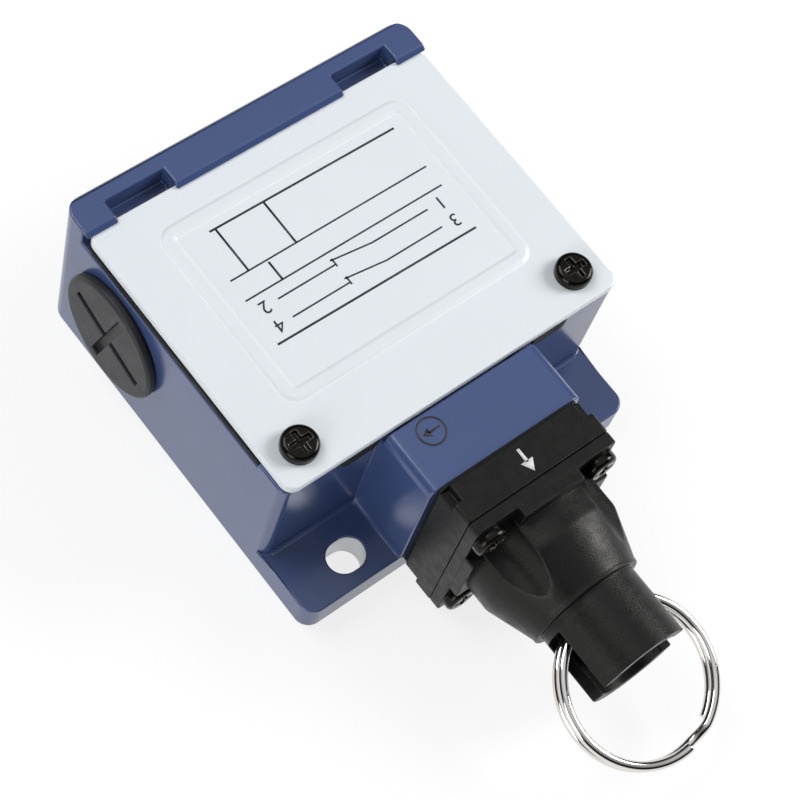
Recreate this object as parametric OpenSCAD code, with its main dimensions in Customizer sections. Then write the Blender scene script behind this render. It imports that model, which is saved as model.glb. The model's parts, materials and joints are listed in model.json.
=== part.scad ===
// Rope pull switch: die-cast housing with a screwed cover, a moulded operating head and a split ring.
// It lies on its mounting face: X across, +Y to the cable end, -Y the way the rope pulls, +Z up.
// The origin is midway between the two fixing slots, on the mounting face.

/* [Housing] */
// Width across the housing and its feet
body_w = 63; // [61:0.5:67]
// From the line of the fixing slots to the cable end
body_back = 60.4; // [59:0.2:66]
// From the line of the fixing slots to the front wall
front_wall_y = 6.6; // [6.4:0.2:7.6]
// Height of the rim that carries the gasket
rim_z = 26.4; // [26:0.2:29]
// Thickness of the side and front walls
wall = 3; // [2.4:0.2:3.6]
// Thickness of the floor
floor_t = 2.6; // [2:0.2:3.4]
// Thickness of the wall at the cable end
back_wall = 8.4; // [7.4:0.2:9.4]
// Plan radius of the corners at the cable end
back_corner_r = 3; // [2:0.5:6]
// Plan radius of the corners at the head end
front_corner_r = 1.5; // [1:0.5:3.5]

/* [Lip over the cover] */
// Height of the lip above the rim
lip_rise = 3.6; // [3.2:0.2:4.4]
// Depth of the lip, measured from the cable end
lip_depth = 6.6; // [6:0.2:7.2]
// How far the lip reaches over the cover's edge
lip_hook = 1.2; // [0.8:0.2:1.6]
// Bevel along the front edge of the lip
lip_bevel = 0.7; // [0.3:0.1:0.8]
// Distance from the middle to the near side of each notch
notch_x = 15.5; // [13:0.5:17]
// Width of each notch
notch_w = 10.5; // [8:0.5:12]
// Depth of each notch
notch_d = 3.7; // [3:0.1:4.4]

/* [Neck and feet] */
// Width of the neck that carries the head
neck_w = 28.6; // [28:0.2:30.4]
// How far the neck and the feet reach ahead of the fixing slots
neck_front = 4.9; // [4.5:0.1:5.5]
// How far the neck's top lies below the cover's top
neck_drop = 0.8; // [0.4:0.1:1.2]
// Radius of the neck's long top edges
neck_edge_r = 1.8; // [1:0.2:2.6]
// Gap between the neck's top and the cover's edge
neck_gap = 0.35; // [0.3:0.05:0.6]
// Bore through the neck
neck_bore_d = 17; // [15:0.5:18]
// Thickness of the feet
foot_t = 5.6; // [4.6:0.2:7]
// Side of the small fillet where the feet meet the front wall and the neck
toe = 0.7; // [0.4:0.1:1]
// Plan radius of the feet's corners
foot_corner_r = 2.5; // [1.5:0.5:4]

/* [Fixing slots] */
// Distance between the two fixing slots
hole_spacing = 42; // [41:0.5:44]
// Width of a fixing slot
slot_w = 5.2; // [4.4:0.1:5.6]
// Length of a fixing slot, across the housing
slot_l = 6.2; // [5.8:0.1:7.4]

/* [Cable entries] */
// Diameter of a cable entry's bore
entry_d = 14.5; // [12.5:0.5:16]
// Height of the cable entries' axis
entry_z = 15; // [14:0.2:16]
// From the line of the fixing slots to the side entries
entry_y = 44.8; // [43:0.2:46]
// Wall of the collar inside a side entry
collar_wall = 2.2; // [1.6:0.2:2.8]
// Depth of the collar inside a side entry
collar_depth = 4; // [3:0.5:5]

/* [Blanking plugs] */
// Diameter of a plug's flange
plug_d = 20.5; // [19:0.5:22]
// Thickness of a plug's flange
plug_t = 1.3; // [1.2:0.1:1.8]
// Length of the two driver slots
plug_slot_l = 16; // [13:0.5:17]
// Width of the driver slots
plug_slot_w = 1.5; // [1:0.1:2]
// Depth of the driver slots
plug_slot_depth = 1; // [0.7:0.1:1.1]
// How far the cross of slots is turned
plug_turn = 17; // [0:1:45]
// Thickness of the seal under the flange
seal_t = 0.4; // [0.3:0.1:0.8]
// Wall of the plug's hollow screw end
plug_wall = 1.8; // [1.4:0.2:2.4]

/* [Cover] */
// Thickness of the cover
cover_t = 1.6; // [1.4:0.1:2]
// Thickness of the gasket under the cover
gasket_t = 1; // [0.8:0.1:1.4]
// How far the cover's sides stay inside the housing's
cover_inset = 0.4; // [0.2:0.1:0.8]
// How far the cover reaches past the front wall
cover_overhang = 0.5; // [0.3:0.1:0.7]
// Plan radius of the cover's corners
cover_corner_r = 2; // [1.5:0.5:4]
// Width of the raised frame on the cover
frame_w = 46; // [38:0.5:47]
// Length of the raised frame
frame_l = 33; // [28:0.5:34]
// From the line of the fixing slots to the frame
frame_y = 16.5; // [16:0.1:19]
// Width of the frame's ridge
ridge_w = 2.2; // [1.8:0.2:3.4]
// Height of the frame's ridge
ridge_h = 0.3; // [0.2:0.1:0.7]
// Outer radius of the frame's corners
frame_corner_r = 1.2; // [0.8:0.2:4]
// Width of the gasket's band
gasket_band = 2.4; // [2:0.2:3]
// Gap between a gasket lobe and the corner pad beside it
lobe_gap = 0.5; // [0.3:0.1:1.5]
// How far the lobes hang over the front wall
lobe_drop = 1.7; // [1:0.1:2.4]
// Thickness of a lobe
lobe_t = 0.4; // [0.3:0.1:0.5]

/* [Cover screws] */
// From the housing's side to each cover screw
screw_edge = 5.8; // [5.4:0.1:6.4]
// From the line of the fixing slots to the cover screws
screw_y = 11.1; // [10.8:0.1:11.8]
// Diameter of a cover screw's head
screw_head_d = 5.8; // [5.4:0.2:7]
// Height of a cover screw's head
screw_head_h = 1.9; // [1.5:0.1:2.5]
// Diameter of a cover screw's shank
screw_d = 3; // [3:0.5:4]
// Length of a cover screw below its head
screw_l = 13; // [9:1:18]
// Width of the corner pads that the cover's screws pull down on
pad_w = 9.8; // [8.8:0.2:10.2]
// Length of the corner pads
pad_l = 6; // [5:0.2:7.4]

/* [Operating head] */
// Width of the head
head_w = 26.4; // [26:0.2:27.6]
// Height of the head
head_h = 28.6; // [27.4:0.2:29.4]
// Height of the pull axis above the mounting face
axis_z = 15.2; // [15:0.1:15.6]
// Thickness of the gasket between neck and head
head_gasket_t = 0.5; // [0.3:0.1:0.8]
// Length of the head block along the pull
block_l = 6.2; // [5.6:0.1:7]
// Side of the relief at the block's corners
relief_w = 1.6; // [1:0.2:2.2]
// Length of the relief
relief_l = 2.8; // [2:0.2:3.4]
// Thickness of the head block's rear wall
block_web = 2.6; // [2.2:0.1:3]

/* [Bell] */
// Thickness of the bell's flange at its corners
flange_t = 2; // [1.6:0.1:2.6]
// How much the four pads stand ahead of the flange
pad_t = 1.7; // [1:0.1:2.2]
// Half length of each pad
pad_half = 5.6; // [4.6:0.1:5.8]
// Diameter of the bell at its root
bell_d = 24.1; // [23.3:0.1:25]
// Length of the bell's straight root, from the flange's back
bell_root_l = 7.9; // [7:0.1:9]
// Diameter of the bell at its front
bell_front_d = 18.9; // [18.3:0.1:20]
// Length of the bell, from the flange's back
bell_l = 16.3; // [15.5:0.1:17.5]
// Radius of the bell's front edge
bell_edge_r = 0.9; // [0.5:0.1:1]
// Radius of the four driver flutes
flute_r = 4.5; // [3.8:0.1:4.6]
// Bore that holds the return spring
chamber_d = 16.4; // [15.8:0.1:16.8]
// Length of the guide at the front of the bell
guide_l = 5; // [4:0.2:6]

/* [Slotted sleeve] */
// Outer diameter of the sleeve
sleeve_d = 16.6; // [16.2:0.1:17.4]
// Wall of the sleeve
sleeve_wall = 1.9; // [1.4:0.1:2.3]
// Length of the sleeve ahead of the bell
sleeve_l = 11.7; // [11:0.1:13]
// Width of the side slots that the ring swings in
ring_slot_w = 5.8; // [5.6:0.1:6.4]
// Web left between the bell and the slots
slot_web = 1.4; // [1:0.1:1.8]

/* [Head screws] */
// Half distance between the head screws
head_screw_x = 10.4; // [10.2:0.1:10.5]
// Diameter of a head screw's head
head_screw_head_d = 5.5; // [4.8:0.1:5.5]
// Height of a head screw's head
head_screw_head_h = 1.8; // [1.4:0.1:2.2]
// Diameter of a head screw's shank
head_screw_d = 3; // [2.5:0.1:3.2]
// Length of a head screw below its head
head_screw_l = 15; // [12:1:18]

/* [Pull rod] */
// Diameter of the rod in its guide
rod_d = 10; // [9.4:0.1:10.4]
// Diameter of the rod's inner shank
shank_d = 6; // [5:0.5:6.5]
// How far the rod reaches past the ring's axis
rod_nose_l = 5.4; // [4.6:0.2:6]
// Diameter of the cross hole for the ring
eye_d = 5; // [4.8:0.1:5.4]
// Running clearance of the rod, on the radius
run_fit = 0.05; // [0.02:0.01:0.1]
// Wall of the guide bush
bush_wall = 1.5; // [1:0.1:1.6]
// Thickness of the washer under the return spring
seat_t = 1.2; // [0.8:0.1:1.6]
// Wall of the rod's seal
rod_seal_wall = 2; // [1.6:0.1:2.2]
// Length of the rod's seal
rod_seal_l = 1.4; // [1:0.1:1.5]
// Thickness of the retaining clip
clip_t = 0.7; // [0.5:0.1:0.9]
// Pull of the rope that works the switch
pull_travel = 5; // [4:0.5:5]

/* [Split ring] */
// Diameter of the ring's wire
ring_wire_d = 1.6; // [1.3:0.1:1.6]
// Diameter of the ring, to the middle of its wire
ring_mid_d = 24.6; // [24:0.2:27]
// How far the ring hangs below the pull axis
ring_droop = 18; // [10:1:18]
// From the bell's front to the ring's hinge
ring_hinge = 2; // [1.9:0.1:2.4]

/* [Contact block] */
// Width of the contact block
block_w = 30; // [28:0.5:33]
// Length of the contact block
block_len = 26; // [25:0.5:28]
// From the line of the fixing slots to the contact block
block_y = 17; // [16.5:0.25:18]
// Height of the feet under the contact block
pillar_h = 2.4; // [1.8:0.2:3]
// Top of the contact block's base
block_top = 21.4; // [21:0.1:21.8]
// Thickness of the contact block's lid
lid_t = 1.4; // [1:0.1:1.8]
// Width of the chamber that holds the contacts
chamber_w = 15; // [14.4:0.2:15.6]
// Diameter of the contact plunger
plunger_d = 6; // [5:0.2:6.4]
// Thickness of the moving contact bridge
bridge_t = 0.8; // [0.6:0.1:1]
// Travel of the moving contact bridge
bridge_travel = 2.5; // [2:0.25:2.5]
// Thickness of the fixed contact strips
strip_t = 0.8; // [0.6:0.1:1]
// Diameter of a terminal screw's head
terminal_d = 5; // [4.4:0.2:5.4]
// Height of a terminal screw's head
terminal_head_h = 2; // [1.6:0.1:2.4]
// Diameter of the shanks of the terminal and block screws
small_screw_d = 3; // [2.5:0.1:3.2]
// Length of a terminal screw below its head
terminal_screw_l = 6; // [5:0.5:7]
// Diameter of a block screw's head
block_screw_head_d = 5.4; // [5:0.1:5.8]
// Depth of a block screw's head below the block's top
block_screw_sink = 5; // [4.5:0.5:6]

/* [Earth terminal] */
// Diameter of the earth screw's shank
earth_d = 4; // [3.5:0.5:4.5]
// Length of the earth screw below its washer
earth_screw_l = 4; // [3:0.5:4.5]
// Diameter of the earth screw's head
earth_head_d = 7; // [6.4:0.2:7.6]
// Height of the earth screw's head
earth_head_h = 2.4; // [2:0.1:2.8]
// Diameter of the earth washer
earth_washer_d = 8; // [7.4:0.2:9]
// Thickness of the earth washer
earth_washer_t = 1; // [0.8:0.1:1.2]

/* [Hidden] */
$fn = 48;

// Fine clearances and overlaps
eps = 0.01;
fit = 0.05;
loose = 0.3;

// Colours
blue = [0.29, 0.35, 0.5];
plate_white = [0.87, 0.89, 0.91];
black = [0.13, 0.13, 0.14];
grey = [0.28, 0.28, 0.29];
steel = [0.75, 0.75, 0.74];
dark_steel = [0.2, 0.19, 0.18];
brass_tone = [0.78, 0.62, 0.32];

// Housing
half_w = body_w / 2;
cavity_x = half_w - wall;
cavity_front = front_wall_y + wall;
cavity_back = body_back - back_wall;
screw_x = half_w - screw_edge;
cover_z = rim_z + gasket_t;
cover_top = cover_z + cover_t;
lip_top = rim_z + lip_rise;
lip_front = body_back - lip_depth;
neck_top = cover_top - neck_drop;
cover_half = half_w - cover_inset;
cover_front = front_wall_y - cover_overhang;
cover_back = lip_front + lip_hook - loose;
hook_z = cover_top + 0.1;
neck_back = cover_front - neck_gap;

// Gasket of the cover, and the shelf under its steps
gasket_x = half_w - 0.15;
gasket_front = front_wall_y + 0.2;
gasket_back = cover_back - 0.1;
shelf_w = pad_w + gasket_band + 0.6;
shelf_l = pad_l + gasket_band + 0.6;
shelf_t = 4;
column_wall = 2;
lobe_l = half_w - pad_w - lobe_gap - neck_w / 2 - loose;

// Stations along the pull, counted from the fixing line towards the ring
gasket_at = neck_front;
block_at = gasket_at + head_gasket_t;
bell_at = block_at + block_l + fit;
flange_at = bell_at + flange_t;
bell_front_at = bell_at + bell_l;
mouth_at = bell_front_at + sleeve_l;
guide_at = bell_front_at - guide_l;
clip_at = block_at + block_web + 0.1;
clip_wall = 2;
seat_at = clip_at + clip_t + 0.02;
spring_at = seat_at + seat_t + 0.1;
bush_d = rod_d + 2 * run_fit + 2 * bush_wall;
hinge_at = bell_front_at + ring_hinge;
nose_at = hinge_at + rod_nose_l;

// Ring
ring_r = ring_mid_d / 2;
turn_rise = ring_wire_d / 2 + 0.02;

// Contact block, from its front face at block_y
pillar_top = floor_t + pillar_h;
pillar_wall = 1.5;
block_screw_tip = 2;
block_half = block_w / 2;
block_end = block_y + block_len;
chamber_x = chamber_w / 2;
chamber_front = block_y + 2;
chamber_end = block_end - 2;
chamber_floor = axis_z - 6;
shelf_z = axis_z - 2.4;
pocket_l = (block_len - 10) / 2;
pocket_y = [block_y + 3, block_end - 3 - pocket_l];
terminal_x = (chamber_x + 1.3 + block_half) / 2;
bridge_screw_y = block_y + block_len / 2;
tip_y = 8.1;
carrier_y = chamber_front + pull_travel + 0.5;
carrier_half = 3.6;
carrier_half_h = 4.6;
window_y = carrier_y + 1.6;
spring_gap = 2.8;
bridge_y = window_y + spring_gap + 0.1;
window_l = spring_gap + 0.1 + bridge_t + bridge_travel + 0.4;
carrier_l = window_l + 3.4;
carrier_end = carrier_y + carrier_l;
bridge_half = chamber_x - 0.6;
bridge_half_h = 2.1;
contact_tip = 0.5;
contact_x = bridge_half - 1.4;
tab_y = [bridge_y - 2 * contact_tip - fit - bridge_travel - strip_t,
    bridge_y + bridge_t + 2 * contact_tip + fit];
tab_h = 4.8;
link_x = chamber_x + 2.4;
nose_l = 4.5;

// Plan with its own corner radius at each end
module plan(x0, x1, y0, y1, r_front, r_back) {
    translate([x0, y0 + r_front]) square([x1 - x0, y1 - y0 - r_front - r_back]);
    translate([x0 + r_front, y0]) square([x1 - x0 - 2 * r_front, r_front + eps]);
    translate([x0 + r_back, y1 - r_back - eps]) square([x1 - x0 - 2 * r_back, r_back + eps]);
    for (x = [x0 + r_front, x1 - r_front]) translate([x, y0 + r_front]) circle(r_front);
    for (x = [x0 + r_back, x1 - r_back]) translate([x, y1 - r_back]) circle(r_back);
}

// Box between two corners
module block(low, high) {
    translate(low) cube(high - low);
}

// Stands a shape on the pull axis, its own Z running from the fixing line towards the ring
module on_axis(along) {
    translate([0, -along, axis_z]) rotate([90, 0, 0]) children();
}

// Places a shape at each of the four head screws, in the frame of on_axis
module at_head_screws() {
    for (x = [-head_screw_x, head_screw_x], y = [-head_screw_x, head_screw_x])
        translate([x, y, 0]) children();
}

// Places a shape at each cover screw
module at_cover_screws(z) {
    for (x = [-screw_x, screw_x]) translate([x, screw_y, z]) children();
}

// Places a shape at both side entries, its own Z pointing out of the housing
module at_side_entry(side) {
    translate([side * half_w, entry_y, entry_z]) rotate([0, side * 90, 0]) children();
}

// Rectangle with round corners, centred
module centred_plate(w, l, r, h) {
    linear_extrude(h) plan(-w / 2, w / 2, -l / 2, l / 2, r, r);
}

// Pan head screw along -Z with a cross recess, its seat at z = 0
module pan_screw(d, l, head_d, head_h) {
    recess_w = head_d * 0.16;
    recess_l = head_d * 0.62;
    round_r = head_h * 0.45;
    difference() {
        union() {
            rotate_extrude() polygon(concat([[0, 0], [head_d / 2, 0]],
                [for (a = [0:15:90]) [head_d / 2 - round_r + round_r * cos(a),
                    head_h - round_r + round_r * sin(a)]],
                [[0, head_h]]));
            translate([0, 0, -l]) cylinder(d = d, h = l + eps);
        }
        for (turn = [0, 90]) rotate([0, 0, turn])
            translate([-recess_l / 2, -recess_w / 2, head_h * 0.42]) cube([recess_l, recess_w, head_h]);
    }
}

// Ring of points round the path at one step, in the plane of the radius and the axis
function hoop(middle, radial, axial, r, sides) =
    [for (k = [0:sides - 1]) middle + r * (cos(360 * k / sides) * radial + sin(360 * k / sides) * axial)];

// Closed tube through hoops that all have the same number of points
module tube(hoops) {
    sides = len(hoops[0]);
    last = len(hoops) - 1;
    polyhedron(points = [for (h = hoops) each h],
        faces = concat([[for (k = [0:sides - 1]) sides - 1 - k]],
            [for (i = [0:last - 1], k = [0:sides - 1])
                [i * sides + k, i * sides + (k + 1) % sides,
                 (i + 1) * sides + (k + 1) % sides, (i + 1) * sides + k]],
            [[for (k = [0:sides - 1]) last * sides + k]]));
}

// Compression spring along Z whose end turns lie flat, squeezed to the length l
module coil(mid_r, wire, l, turns, steps, sides) {
    total = turns * steps;
    pitch_l = l - wire;
    function rise(t) = t < 1 ? 0 : t > turns - 1 ? 1 : (t - 1) / (turns - 2);
    tube([for (i = [0:total]) let (t = i / steps, a = 360 * t,
            z = wire / 2 + wire * 1.04 * (min(t, 1) + max(t - turns + 1, 0))
                + (pitch_l - 2.08 * wire) * rise(t))
        hoop([mid_r * cos(a), mid_r * sin(a), z], [cos(a), sin(a), 0], [0, 0, 1], wire / 2, sides)]);
}

// Outside of the die-casting
module housing_outside() {
    linear_extrude(rim_z) body_plan();
    // feet, which run back into the block
    linear_extrude(foot_t) plan(-half_w, half_w, -neck_front, cavity_front, foot_corner_r, eps * 2);
    // corner pads that the cover rests on, beside the gasket
    intersection() {
        linear_extrude(cover_z) body_plan();
        for (side = [-1, 1]) block([side > 0 ? half_w - pad_w : -half_w - 1, front_wall_y - 1, rim_z - 1],
            [side > 0 ? half_w + 1 : pad_w - half_w, front_wall_y + pad_l, cover_z]);
    }
    // fillets where the feet meet the front wall and the neck
    for (side = [-1, 1]) {
        translate([side * (half_w - front_corner_r), front_wall_y + eps, foot_t - eps])
            rotate([90, 0, -90 * side])
            linear_extrude(half_w - front_corner_r - neck_w / 2) toe_section(side);
        translate([side * (neck_w / 2 - eps), -neck_front, foot_t - eps]) rotate([-90, 180, 0])
            linear_extrude(neck_front + front_wall_y) toe_section(-side);
    }
    // neck, with its long top edges rounded
    translate([0, neck_back, 0]) rotate([90, 0, 0]) linear_extrude(neck_back + neck_front)
        plan(-neck_w / 2, neck_w / 2, 0, neck_top, eps * 2, neck_edge_r);
    block([-neck_w / 2, neck_back - eps, 0], [neck_w / 2, cavity_front, rim_z]);
    // lip over the cover
    intersection() {
        linear_extrude(lip_top) body_plan();
        translate([-half_w, 0, 0]) rotate([90, 0, 90]) linear_extrude(body_w) lip_section();
    }
}

// Plan of the housing above the feet
module body_plan() plan(-half_w, half_w, front_wall_y, body_back, front_corner_r, back_corner_r);

// Section through a small fillet, flat along x and upright along y
module toe_section(side) {
    polygon([[0, 0], [side * toe, 0], [side * 0.3 * toe, 0.3 * toe], [0, toe]]);
}

// Section through the lip: it hooks over the cover's edge and has a bevelled front
module lip_section() {
    polygon([[lip_front + lip_hook, rim_z - 1], [lip_front + lip_hook, hook_z], [lip_front, hook_z],
        [lip_front, lip_top - lip_bevel], [lip_front + lip_bevel, lip_top],
        [body_back - lip_bevel, lip_top], [body_back, lip_top - lip_bevel], [body_back, rim_z - 1]]);
}

// Bosses and pillars inside the housing
module housing_inside() {
    for (side = [-1, 1]) {
        // shelf and column that take a cover screw and carry the gasket behind it
        block([side > 0 ? half_w - shelf_w : -cavity_x - eps, cavity_front - eps, rim_z - shelf_t],
            [side > 0 ? cavity_x + eps : shelf_w - half_w, front_wall_y + shelf_l, rim_z]);
        translate([side * screw_x, screw_y, floor_t - eps])
            cylinder(d = screw_d + 2 * column_wall, h = rim_z - floor_t);
        at_side_entry(side) translate([0, 0, -wall - collar_depth])
            cylinder(d = entry_d + 2 * collar_wall, h = collar_depth + eps);
        translate([side * terminal_x, bridge_screw_y, floor_t - eps])
            cylinder(d = small_screw_d + 2 * pillar_wall, h = pillar_h + eps);
    }
    translate([earth_x, earth_y, floor_t - eps]) cylinder(d = earth_d + 2 * pillar_wall, h = pillar_h + eps);
}
earth_x = cavity_x - 9.5;
earth_y = cavity_back - 4.6;

module housing() color(blue) difference() {
    union() {
        difference() {
            housing_outside();
            // hollow for the contact block
            translate([0, 0, floor_t]) linear_extrude(lip_top)
                plan(-cavity_x, cavity_x, cavity_front, cavity_back, 1.5, 2.5);
        }
        housing_inside();
    }
    // notches in the lip
    for (side = [-1, 1])
        block([side > 0 ? notch_x : -notch_x - notch_w, lip_front - 1, rim_z],
            [side > 0 ? notch_x + notch_w : -notch_x, lip_front + notch_d, lip_top + 1]);
    // side cable entries and the one at the end
    for (side = [-1, 1]) at_side_entry(side)
        translate([0, 0, -wall - collar_depth - 1]) cylinder(d = entry_d, h = wall + collar_depth + 2);
    translate([0, cavity_back - 1, entry_z]) rotate([-90, 0, 0]) cylinder(d = entry_d, h = back_wall + 2);
    // bore through the neck
    on_axis(neck_front + 1) translate([0, 0, -cavity_front - neck_front - 2])
        cylinder(d = neck_bore_d, h = cavity_front + neck_front + 3);
    on_axis(neck_front) at_head_screws() translate([0, 0, -head_screw_l])
        cylinder(d = head_screw_d + 2 * fit, h = head_screw_l + 1);
    // tapped holes
    at_cover_screws(rim_z - screw_l) cylinder(d = screw_d + 2 * fit, h = screw_l + 2);
    for (side = [-1, 1]) translate([side * terminal_x, bridge_screw_y, 1])
        cylinder(d = small_screw_d + 2 * fit, h = pillar_top);
    translate([earth_x, earth_y, 1]) cylinder(d = earth_d + 2 * fit, h = pillar_top);
    // fixing slots, long across the housing
    for (side = [-1, 1]) translate([side * hole_spacing / 2, 0, -1]) {
        for (end = [-1, 1]) translate([end * (slot_l - slot_w) / 2, 0, 0])
            cylinder(d = slot_w, h = foot_t + 2);
        translate([-(slot_l - slot_w) / 2, -slot_w / 2, 0]) cube([slot_l - slot_w, slot_w, foot_t + 2]);
    }
}

module cover() color(plate_white) difference() {
    union() {
        translate([0, 0, cover_z]) linear_extrude(cover_t)
            plan(-cover_half, cover_half, cover_front, cover_back, cover_corner_r, 2);
        translate([0, 0, cover_top - eps]) linear_extrude(ridge_h + eps) difference() {
            plan(-frame_w / 2, frame_w / 2, frame_y, frame_y + frame_l, frame_corner_r, frame_corner_r);
            plan(ridge_w - frame_w / 2, frame_w / 2 - ridge_w, frame_y + ridge_w,
                frame_y + frame_l - ridge_w, frame_corner_r * 0.4, frame_corner_r * 0.4);
        }
    }
    at_cover_screws(cover_z - 1) cylinder(d = screw_d + 2 * loose, h = cover_t + 2);
}

// Outline of the gasket, drawn in by the given amount, with a step round each corner pad
module gasket_outline(inset) difference() {
    plan(inset - gasket_x, gasket_x - inset, gasket_front + inset, gasket_back - inset, eps * 2, 2);
    for (side = [-1, 1]) translate([side * half_w, front_wall_y])
        square([2 * (pad_w + fit + inset), 2 * (pad_l + fit + inset)], center = true);
}

module cover_gasket() color(black) translate([0, 0, rim_z]) {
    linear_extrude(gasket_t) difference() {
        gasket_outline(0);
        gasket_outline(gasket_band);
        for (x = [-screw_x, screw_x]) translate([x, screw_y]) circle(d = screw_d + 2 * loose);
    }
    // lobes that hang over the front wall on each side of the neck
    for (side = [-1, 1]) translate([side * (neck_w / 2 + loose + lobe_l / 2), 0, 0]) {
        block([-lobe_l / 2, front_wall_y - lobe_t - fit, 0], [lobe_l / 2, gasket_front + eps, gasket_t]);
        translate([0, front_wall_y - fit, 0]) rotate([90, 0, 0]) linear_extrude(lobe_t)
            plan(-lobe_l / 2, lobe_l / 2, -lobe_drop, gasket_t, lobe_drop * 0.8, eps * 2);
    }
}

module cover_screws() color(dark_steel) at_cover_screws(cover_top)
    pan_screw(screw_d, screw_l, screw_head_d, screw_head_h);

// Plug with a flanged head and a cross of driver slots, along +Z from the housing's side
module blanking_plug() color(grey) difference() {
    union() {
        translate([0, 0, seal_t]) rotate_extrude() polygon([[0, 0], [plug_d / 2, 0],
            [plug_d / 2, plug_t - 0.4], [plug_d / 2 - 0.4, plug_t], [0, plug_t]]);
        translate([0, 0, -wall - collar_depth + 1]) cylinder(d = entry_d - 2 * fit, h = wall + collar_depth);
    }
    translate([0, 0, -wall - collar_depth])
        cylinder(d = entry_d - 2 * plug_wall, h = wall + collar_depth - 1);
    for (turn = [0, 90]) rotate([0, 0, turn - plug_turn])
        translate([-plug_slot_l / 2, -plug_slot_w / 2, seal_t + plug_t - plug_slot_depth])
            cube([plug_slot_l, plug_slot_w, plug_t]);
}
module blanking_plug_left() at_side_entry(-1) blanking_plug();
module blanking_plug_right() at_side_entry(1) blanking_plug();

module plug_seals() color(black) for (side = [-1, 1]) at_side_entry(side) difference() {
    cylinder(d = plug_d - 0.6, h = seal_t);
    translate([0, 0, -1]) cylinder(d = entry_d + 2 * fit, h = seal_t + 2);
}

// Section across the head, in the frame of on_axis
module head_section(inset) {
    centred_plate(head_w - 2 * inset, head_h - 2 * inset, 0.6, 1);
}

module head_gasket() color(black) difference() {
    on_axis(gasket_at) centred_plate(head_w - 0.8, head_h - 1.6, 1, head_gasket_t);
    on_axis(gasket_at) translate([0, 0, -1]) cylinder(d = neck_bore_d - 1, h = head_gasket_t + 2);
    on_axis(gasket_at) at_head_screws() translate([0, 0, -1])
        cylinder(d = head_screw_d + 2 * fit, h = head_gasket_t + 2);
}

module head_block() color(black) difference() {
    on_axis(block_at) centred_plate(head_w, head_h, 0.6, block_l);
    // chamber for the return spring and its seat, and the bore for the shank
    on_axis(block_at + block_web) cylinder(d = chamber_d, h = block_l);
    on_axis(block_at - 1) cylinder(d = shank_d + 2 * run_fit, h = block_l);
    // pocket for the rod's seal
    on_axis(block_at - 1) cylinder(d = shank_d + 2 * rod_seal_wall, h = 1.1 + rod_seal_l);
    on_axis(block_at - 1) at_head_screws() cylinder(d = head_screw_d + 2 * fit, h = block_l + 2);
    // reliefs at the corners, next to the neck
    for (x = [-1, 1], z = [-1, 1])
        translate([x * head_w / 2, -block_at - relief_l / 2 + eps, axis_z + z * head_h / 2])
            cube([2 * relief_w, relief_l, 2 * relief_w], center = true);
}

module rod_seal() color(black) difference() {
    on_axis(block_at) cylinder(d = shank_d + 2 * rod_seal_wall - 2 * fit, h = rod_seal_l);
    on_axis(block_at - 1) cylinder(d = shank_d + 2 * run_fit, h = 4);
}

// Outline of the bell and its sleeve: root, taper, round front edge, sleeve
function bell_outline() = concat(
    [[0, 0.5], [bell_d / 2, 0.5], [bell_d / 2, bell_root_l]],
    [for (a = [0:15:90]) [bell_front_d / 2 - bell_edge_r + bell_edge_r * cos(a),
        bell_l - bell_edge_r + bell_edge_r * sin(a)]],
    [[sleeve_d / 2, bell_l], [sleeve_d / 2, bell_l + sleeve_l - 0.3],
     [sleeve_d / 2 - 0.3, bell_l + sleeve_l], [0, bell_l + sleeve_l]]);

module bell() color(black) difference() {
    union() {
        on_axis(bell_at) centred_plate(head_w, head_h, 0.6, flange_t);
        on_axis(bell_at) centred_plate(head_w - 0.2, 2 * pad_half, 0.4, flange_t + pad_t);
        on_axis(bell_at) centred_plate(2 * pad_half, head_h - 0.2, 0.4, flange_t + pad_t);
        on_axis(bell_at) rotate_extrude() polygon(bell_outline());
    }
    // spring chamber, seat of the guide bush, and the open mouth
    on_axis(bell_at - 1) cylinder(d = chamber_d, h = bell_l - guide_l + 1);
    on_axis(bell_at) cylinder(d = bush_d, h = bell_l + 1);
    on_axis(bell_front_at) cylinder(d = sleeve_d - 2 * sleeve_wall, h = sleeve_l + 1);
    // flutes that let a driver reach the screws, and the screws' holes
    on_axis(flange_at) at_head_screws() cylinder(r = flute_r, h = bell_l);
    on_axis(bell_at - 1) at_head_screws() cylinder(d = head_screw_d + 2 * loose, h = flange_t + 2);
    // side slots that the ring passes through, open at the mouth
    block([-sleeve_d, -mouth_at - 1, axis_z - ring_slot_w / 2],
        [sleeve_d, -bell_front_at - slot_web, axis_z + ring_slot_w / 2]);
}

module head_screws() color(dark_steel) on_axis(flange_at) at_head_screws()
    pan_screw(head_screw_d, head_screw_l, head_screw_head_d, head_screw_head_h);

module guide_bush() color(brass_tone) difference() {
    on_axis(guide_at + fit) cylinder(d = bush_d - 2 * fit, h = guide_l - 2 * fit);
    on_axis(guide_at - 1) cylinder(d = rod_d + 2 * run_fit, h = guide_l + 2);
}

module pull_rod() color(steel) difference() {
    union() {
        on_axis(-tip_y + 0.1) cylinder(d = shank_d, h = tip_y - 0.1 + seat_at + seat_t);
        on_axis(seat_at + seat_t) cylinder(d = rod_d, h = nose_at - seat_at - seat_t - 0.6);
        on_axis(nose_at - 0.6 - eps) cylinder(d1 = rod_d, d2 = rod_d - 1.2, h = 0.6);
    }
    translate([-rod_d, -hinge_at, axis_z]) rotate([0, 90, 0]) cylinder(d = eye_d, h = 2 * rod_d);
    // groove for the retaining clip
    on_axis(clip_at - 0.02) difference() {
        cylinder(d = shank_d + 1, h = clip_t + 0.04);
        translate([0, 0, -1]) cylinder(d = shank_d - 1.2, h = clip_t + 2);
    }
}

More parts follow.
